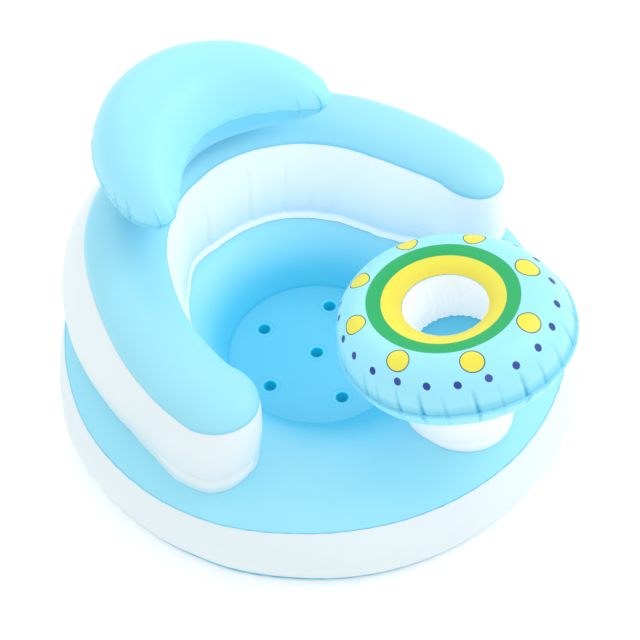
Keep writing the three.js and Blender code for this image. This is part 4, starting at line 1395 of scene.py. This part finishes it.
def make_floor():
    bpy.ops.mesh.primitive_plane_add(size=12, location=(0, 0, -0.0003))
    floor = bpy.context.object
    floor.name = "studio_floor"
    graph = Finish("studio_floor")
    graph.set({
        "Base Color": (0.92, 0.92, 0.92, 1),
        "Roughness": 0.9,
        "Emission Color": PURE_WHITE,
        "Emission Strength": graph.math("MULTIPLY", graph.background_share(), 0.2),
    })
    floor.data.materials.append(graph.material)


def make_world(scene):
    """Soft even light from all round, behind a background that shows as plain white."""
    world = bpy.data.worlds.new("studio")
    world.use_nodes = True
    graph = Graph(world.node_tree)
    light = graph.tree.nodes["Background"]
    graph.put(light.inputs["Color"], WORLD_TINT)
    graph.put(light.inputs["Strength"], WORLD_STRENGTH)
    white = graph.add("ShaderNodeBackground", {"Color": PURE_WHITE, "Strength": 1.0})
    both = {0: graph.background_share(), 1: light.outputs[0], 2: white.outputs[0]}
    mixed = graph.add("ShaderNodeMixShader", both).outputs[0]
    graph.put(graph.tree.nodes["World Output"].inputs["Surface"], mixed)
    scene.world = world


def add_light(name, place, target, size, energy, shine):
    data = bpy.data.lights.new(name, "AREA")
    data.shape = "DISK"
    data.size = size
    data.energy = energy
    data.specular_factor = shine
    lamp = linked(name, data)
    lamp.location = place
    lamp.rotation_mode = "QUATERNION"
    lamp.rotation_quaternion = (Vector(target) - Vector(place)).to_track_quat("-Z", "Y")


def make_lights():
    """A large soft key light from the camera's right, a rim light from behind, a fill inside."""
    middle = (0.0, 0.0, 0.1)
    add_light("key_light", (1.7, -1.3, 2.2), middle, 2.2, 21.0, 1.0)
    add_light("rim_light", (0.9, 1.6, 2.0), middle, 1.8, 5.0, 0.6)
    add_light("well_light", (0.0, -0.07, 0.20), (0.0, 0.3, 0.13), 0.16, 0.06, 0.0)


def turned(vector, axis, by):
    return Matrix.Rotation(by, 3, axis) @ vector


def make_camera(scene, s):
    a, e = s.azimuth, s.elevation
    back = Vector((math.sin(a) * math.cos(e), -math.cos(a) * math.cos(e), math.sin(e)))
    target = Vector(CENTRE) + Vector((0, 0, scene.seat_base.seam_height))
    ahead = -back
    right = Vector((math.cos(a), math.sin(a), 0))
    up = right.cross(ahead)
    ahead, right = turned(ahead, up, s.pan), turned(right, up, s.pan)
    ahead, up = turned(ahead, right, s.tilt), turned(up, right, s.tilt)
    right, up = turned(right, ahead, s.roll), turned(up, ahead, s.roll)
    data = bpy.data.cameras.new("photo_camera")
    data.lens = s.lens
    data.sensor_width = 36
    camera = linked("photo_camera", data)
    columns = Matrix((right, up, -ahead)).transposed()
    camera.matrix_world = Matrix.Translation(target + back * s.distance) @ columns.to_4x4()
    scene.camera = camera
    scene.view_settings.view_transform = "Standard"


# Operators

class SEAT_OT_films(bpy.types.Operator):
    """Makes the material of every film"""

    bl_idname = "seat.make_films"
    bl_label = "Make films"

    def execute(self, context):
        make_films(context.scene.seat_films)
        return {"FINISHED"}


class SEAT_OT_base(bpy.types.Operator):
    """Builds the base: bottom, wall, top sheet, floor and drain sleeves"""

    bl_idname = "seat.make_base"
    bl_label = "Make base"

    def execute(self, context):
        s = context.scene.seat_base
        make_base_top(s, film_of("base_top_vinyl"))
        make_base_wall(s, film_of("white_vinyl"))
        make_base_bottom(s, film_of("sky_blue_vinyl"))
        make_seat_floor(s, film_of("mid_blue_vinyl"))
        make_drains(s, film_of("drain_vinyl"))
        return {"FINISHED"}


class SEAT_OT_backrest(bpy.types.Operator):
    """Builds the horseshoe backrest: wall, top sheet and hidden bottom sheet"""

    bl_idname = "seat.make_backrest"
    bl_label = "Make backrest"

    def execute(self, context):
        base, s = context.scene.seat_base, context.scene.seat_backrest
        make_backrest_wall(base, s, film_of("backrest_vinyl"))
        make_backrest_top(base, s, film_of("sky_blue_vinyl"))
        make_backrest_bottom(base, s, film_of("sky_blue_vinyl"))
        return {"FINISHED"}


class SEAT_OT_headrest(bpy.types.Operator):
    """Builds the crescent headrest with its welded rim and pleats"""

    bl_idname = "seat.make_headrest"
    bl_label = "Make headrest"

    def execute(self, context):
        make_headrest(context.scene.seat_headrest, film_of("sky_blue_vinyl"))
        return {"FINISHED"}


class SEAT_OT_toy(bpy.types.Operator):
    """Builds the toy ring, its cup and its post"""

    bl_idname = "seat.make_toy"
    bl_label = "Make toy"

    def execute(self, context):
        base, s = context.scene.seat_base, context.scene.seat_toy
        make_toy_top(base, s, film_of("printed_vinyl"))
        make_toy_lower(base, s, film_of("lower_vinyl"))
        make_cup(base, s, film_of("cup_vinyl"), film_of("cup_floor_vinyl"))
        make_post(base, s, film_of("post_vinyl"), film_of("sky_blue_vinyl"))
        return {"FINISHED"}


class SEAT_OT_valves(bpy.types.Operator):
    """Builds the four air valves with their plugs and tethers"""

    bl_idname = "seat.make_valves"
    bl_label = "Make valves"

    def execute(self, context):
        for chamber in CHAMBERS:
            make_valve(chamber, context.scene.seat_valve, film_of("clear_vinyl"))
        return {"FINISHED"}


class SEAT_OT_stage(bpy.types.Operator):
    """Builds the floor, the lights and the camera"""

    bl_idname = "seat.make_stage"
    bl_label = "Make stage"

    def execute(self, context):
        make_floor()
        make_world(context.scene)
        make_lights()
        make_camera(context.scene, context.scene.seat_stage)
        return {"FINISHED"}


class SEAT_PT_panel(bpy.types.Panel):
    """The sizes of the seat and the steps that build it"""

    bl_label = "Baby seat"
    bl_idname = "SEAT_PT_panel"
    bl_space_type = "VIEW_3D"
    bl_region_type = "UI"
    bl_category = "Baby seat"

    def draw(self, context):
        scene = context.scene
        for operator, settings in STEPS:
            box = self.layout.box()
            box.operator(operator)
            group = getattr(scene, settings)
            for name in group.bl_rna.properties.keys():
                if name not in ("rna_type", "name"):
                    box.prop(group, name)


STEPS = (
    ("seat.make_films", "seat_films"),
    ("seat.make_base", "seat_base"),
    ("seat.make_backrest", "seat_backrest"),
    ("seat.make_headrest", "seat_headrest"),
    ("seat.make_toy", "seat_toy"),
    ("seat.make_valves", "seat_valve"),
    ("seat.make_stage", "seat_stage"),
)
SETTINGS = (
    ("seat_films", FilmSettings),
    ("seat_base", BaseSettings),
    ("seat_backrest", BackrestSettings),
    ("seat_headrest", HeadrestSettings),
    ("seat_toy", ToySettings),
    ("seat_valve", ValveSettings),
    ("seat_stage", StageSettings),
)
CLASSES = (
    SEAT_OT_films, SEAT_OT_base, SEAT_OT_backrest, SEAT_OT_headrest, SEAT_OT_toy,
    SEAT_OT_valves, SEAT_OT_stage, SEAT_PT_panel,
)


def register():
    for name, kind in SETTINGS:
        bpy.utils.register_class(kind)
        setattr(bpy.types.Scene, name, bpy.props.PointerProperty(type=kind))
    for kind in CLASSES:
        bpy.utils.register_class(kind)


def unregister():
    for kind in reversed(CLASSES):
        bpy.utils.unregister_class(kind)
    for name, kind in SETTINGS:
        delattr(bpy.types.Scene, name)
        bpy.utils.unregister_class(kind)


def main():
    register()
    bpy.ops.seat.make_films()
    bpy.ops.seat.make_base()
    bpy.ops.seat.make_backrest()
    bpy.ops.seat.make_headrest()
    bpy.ops.seat.make_toy()
    bpy.ops.seat.make_valves()
    bpy.ops.seat.make_stage()


if __name__ == "__main__":
    main()
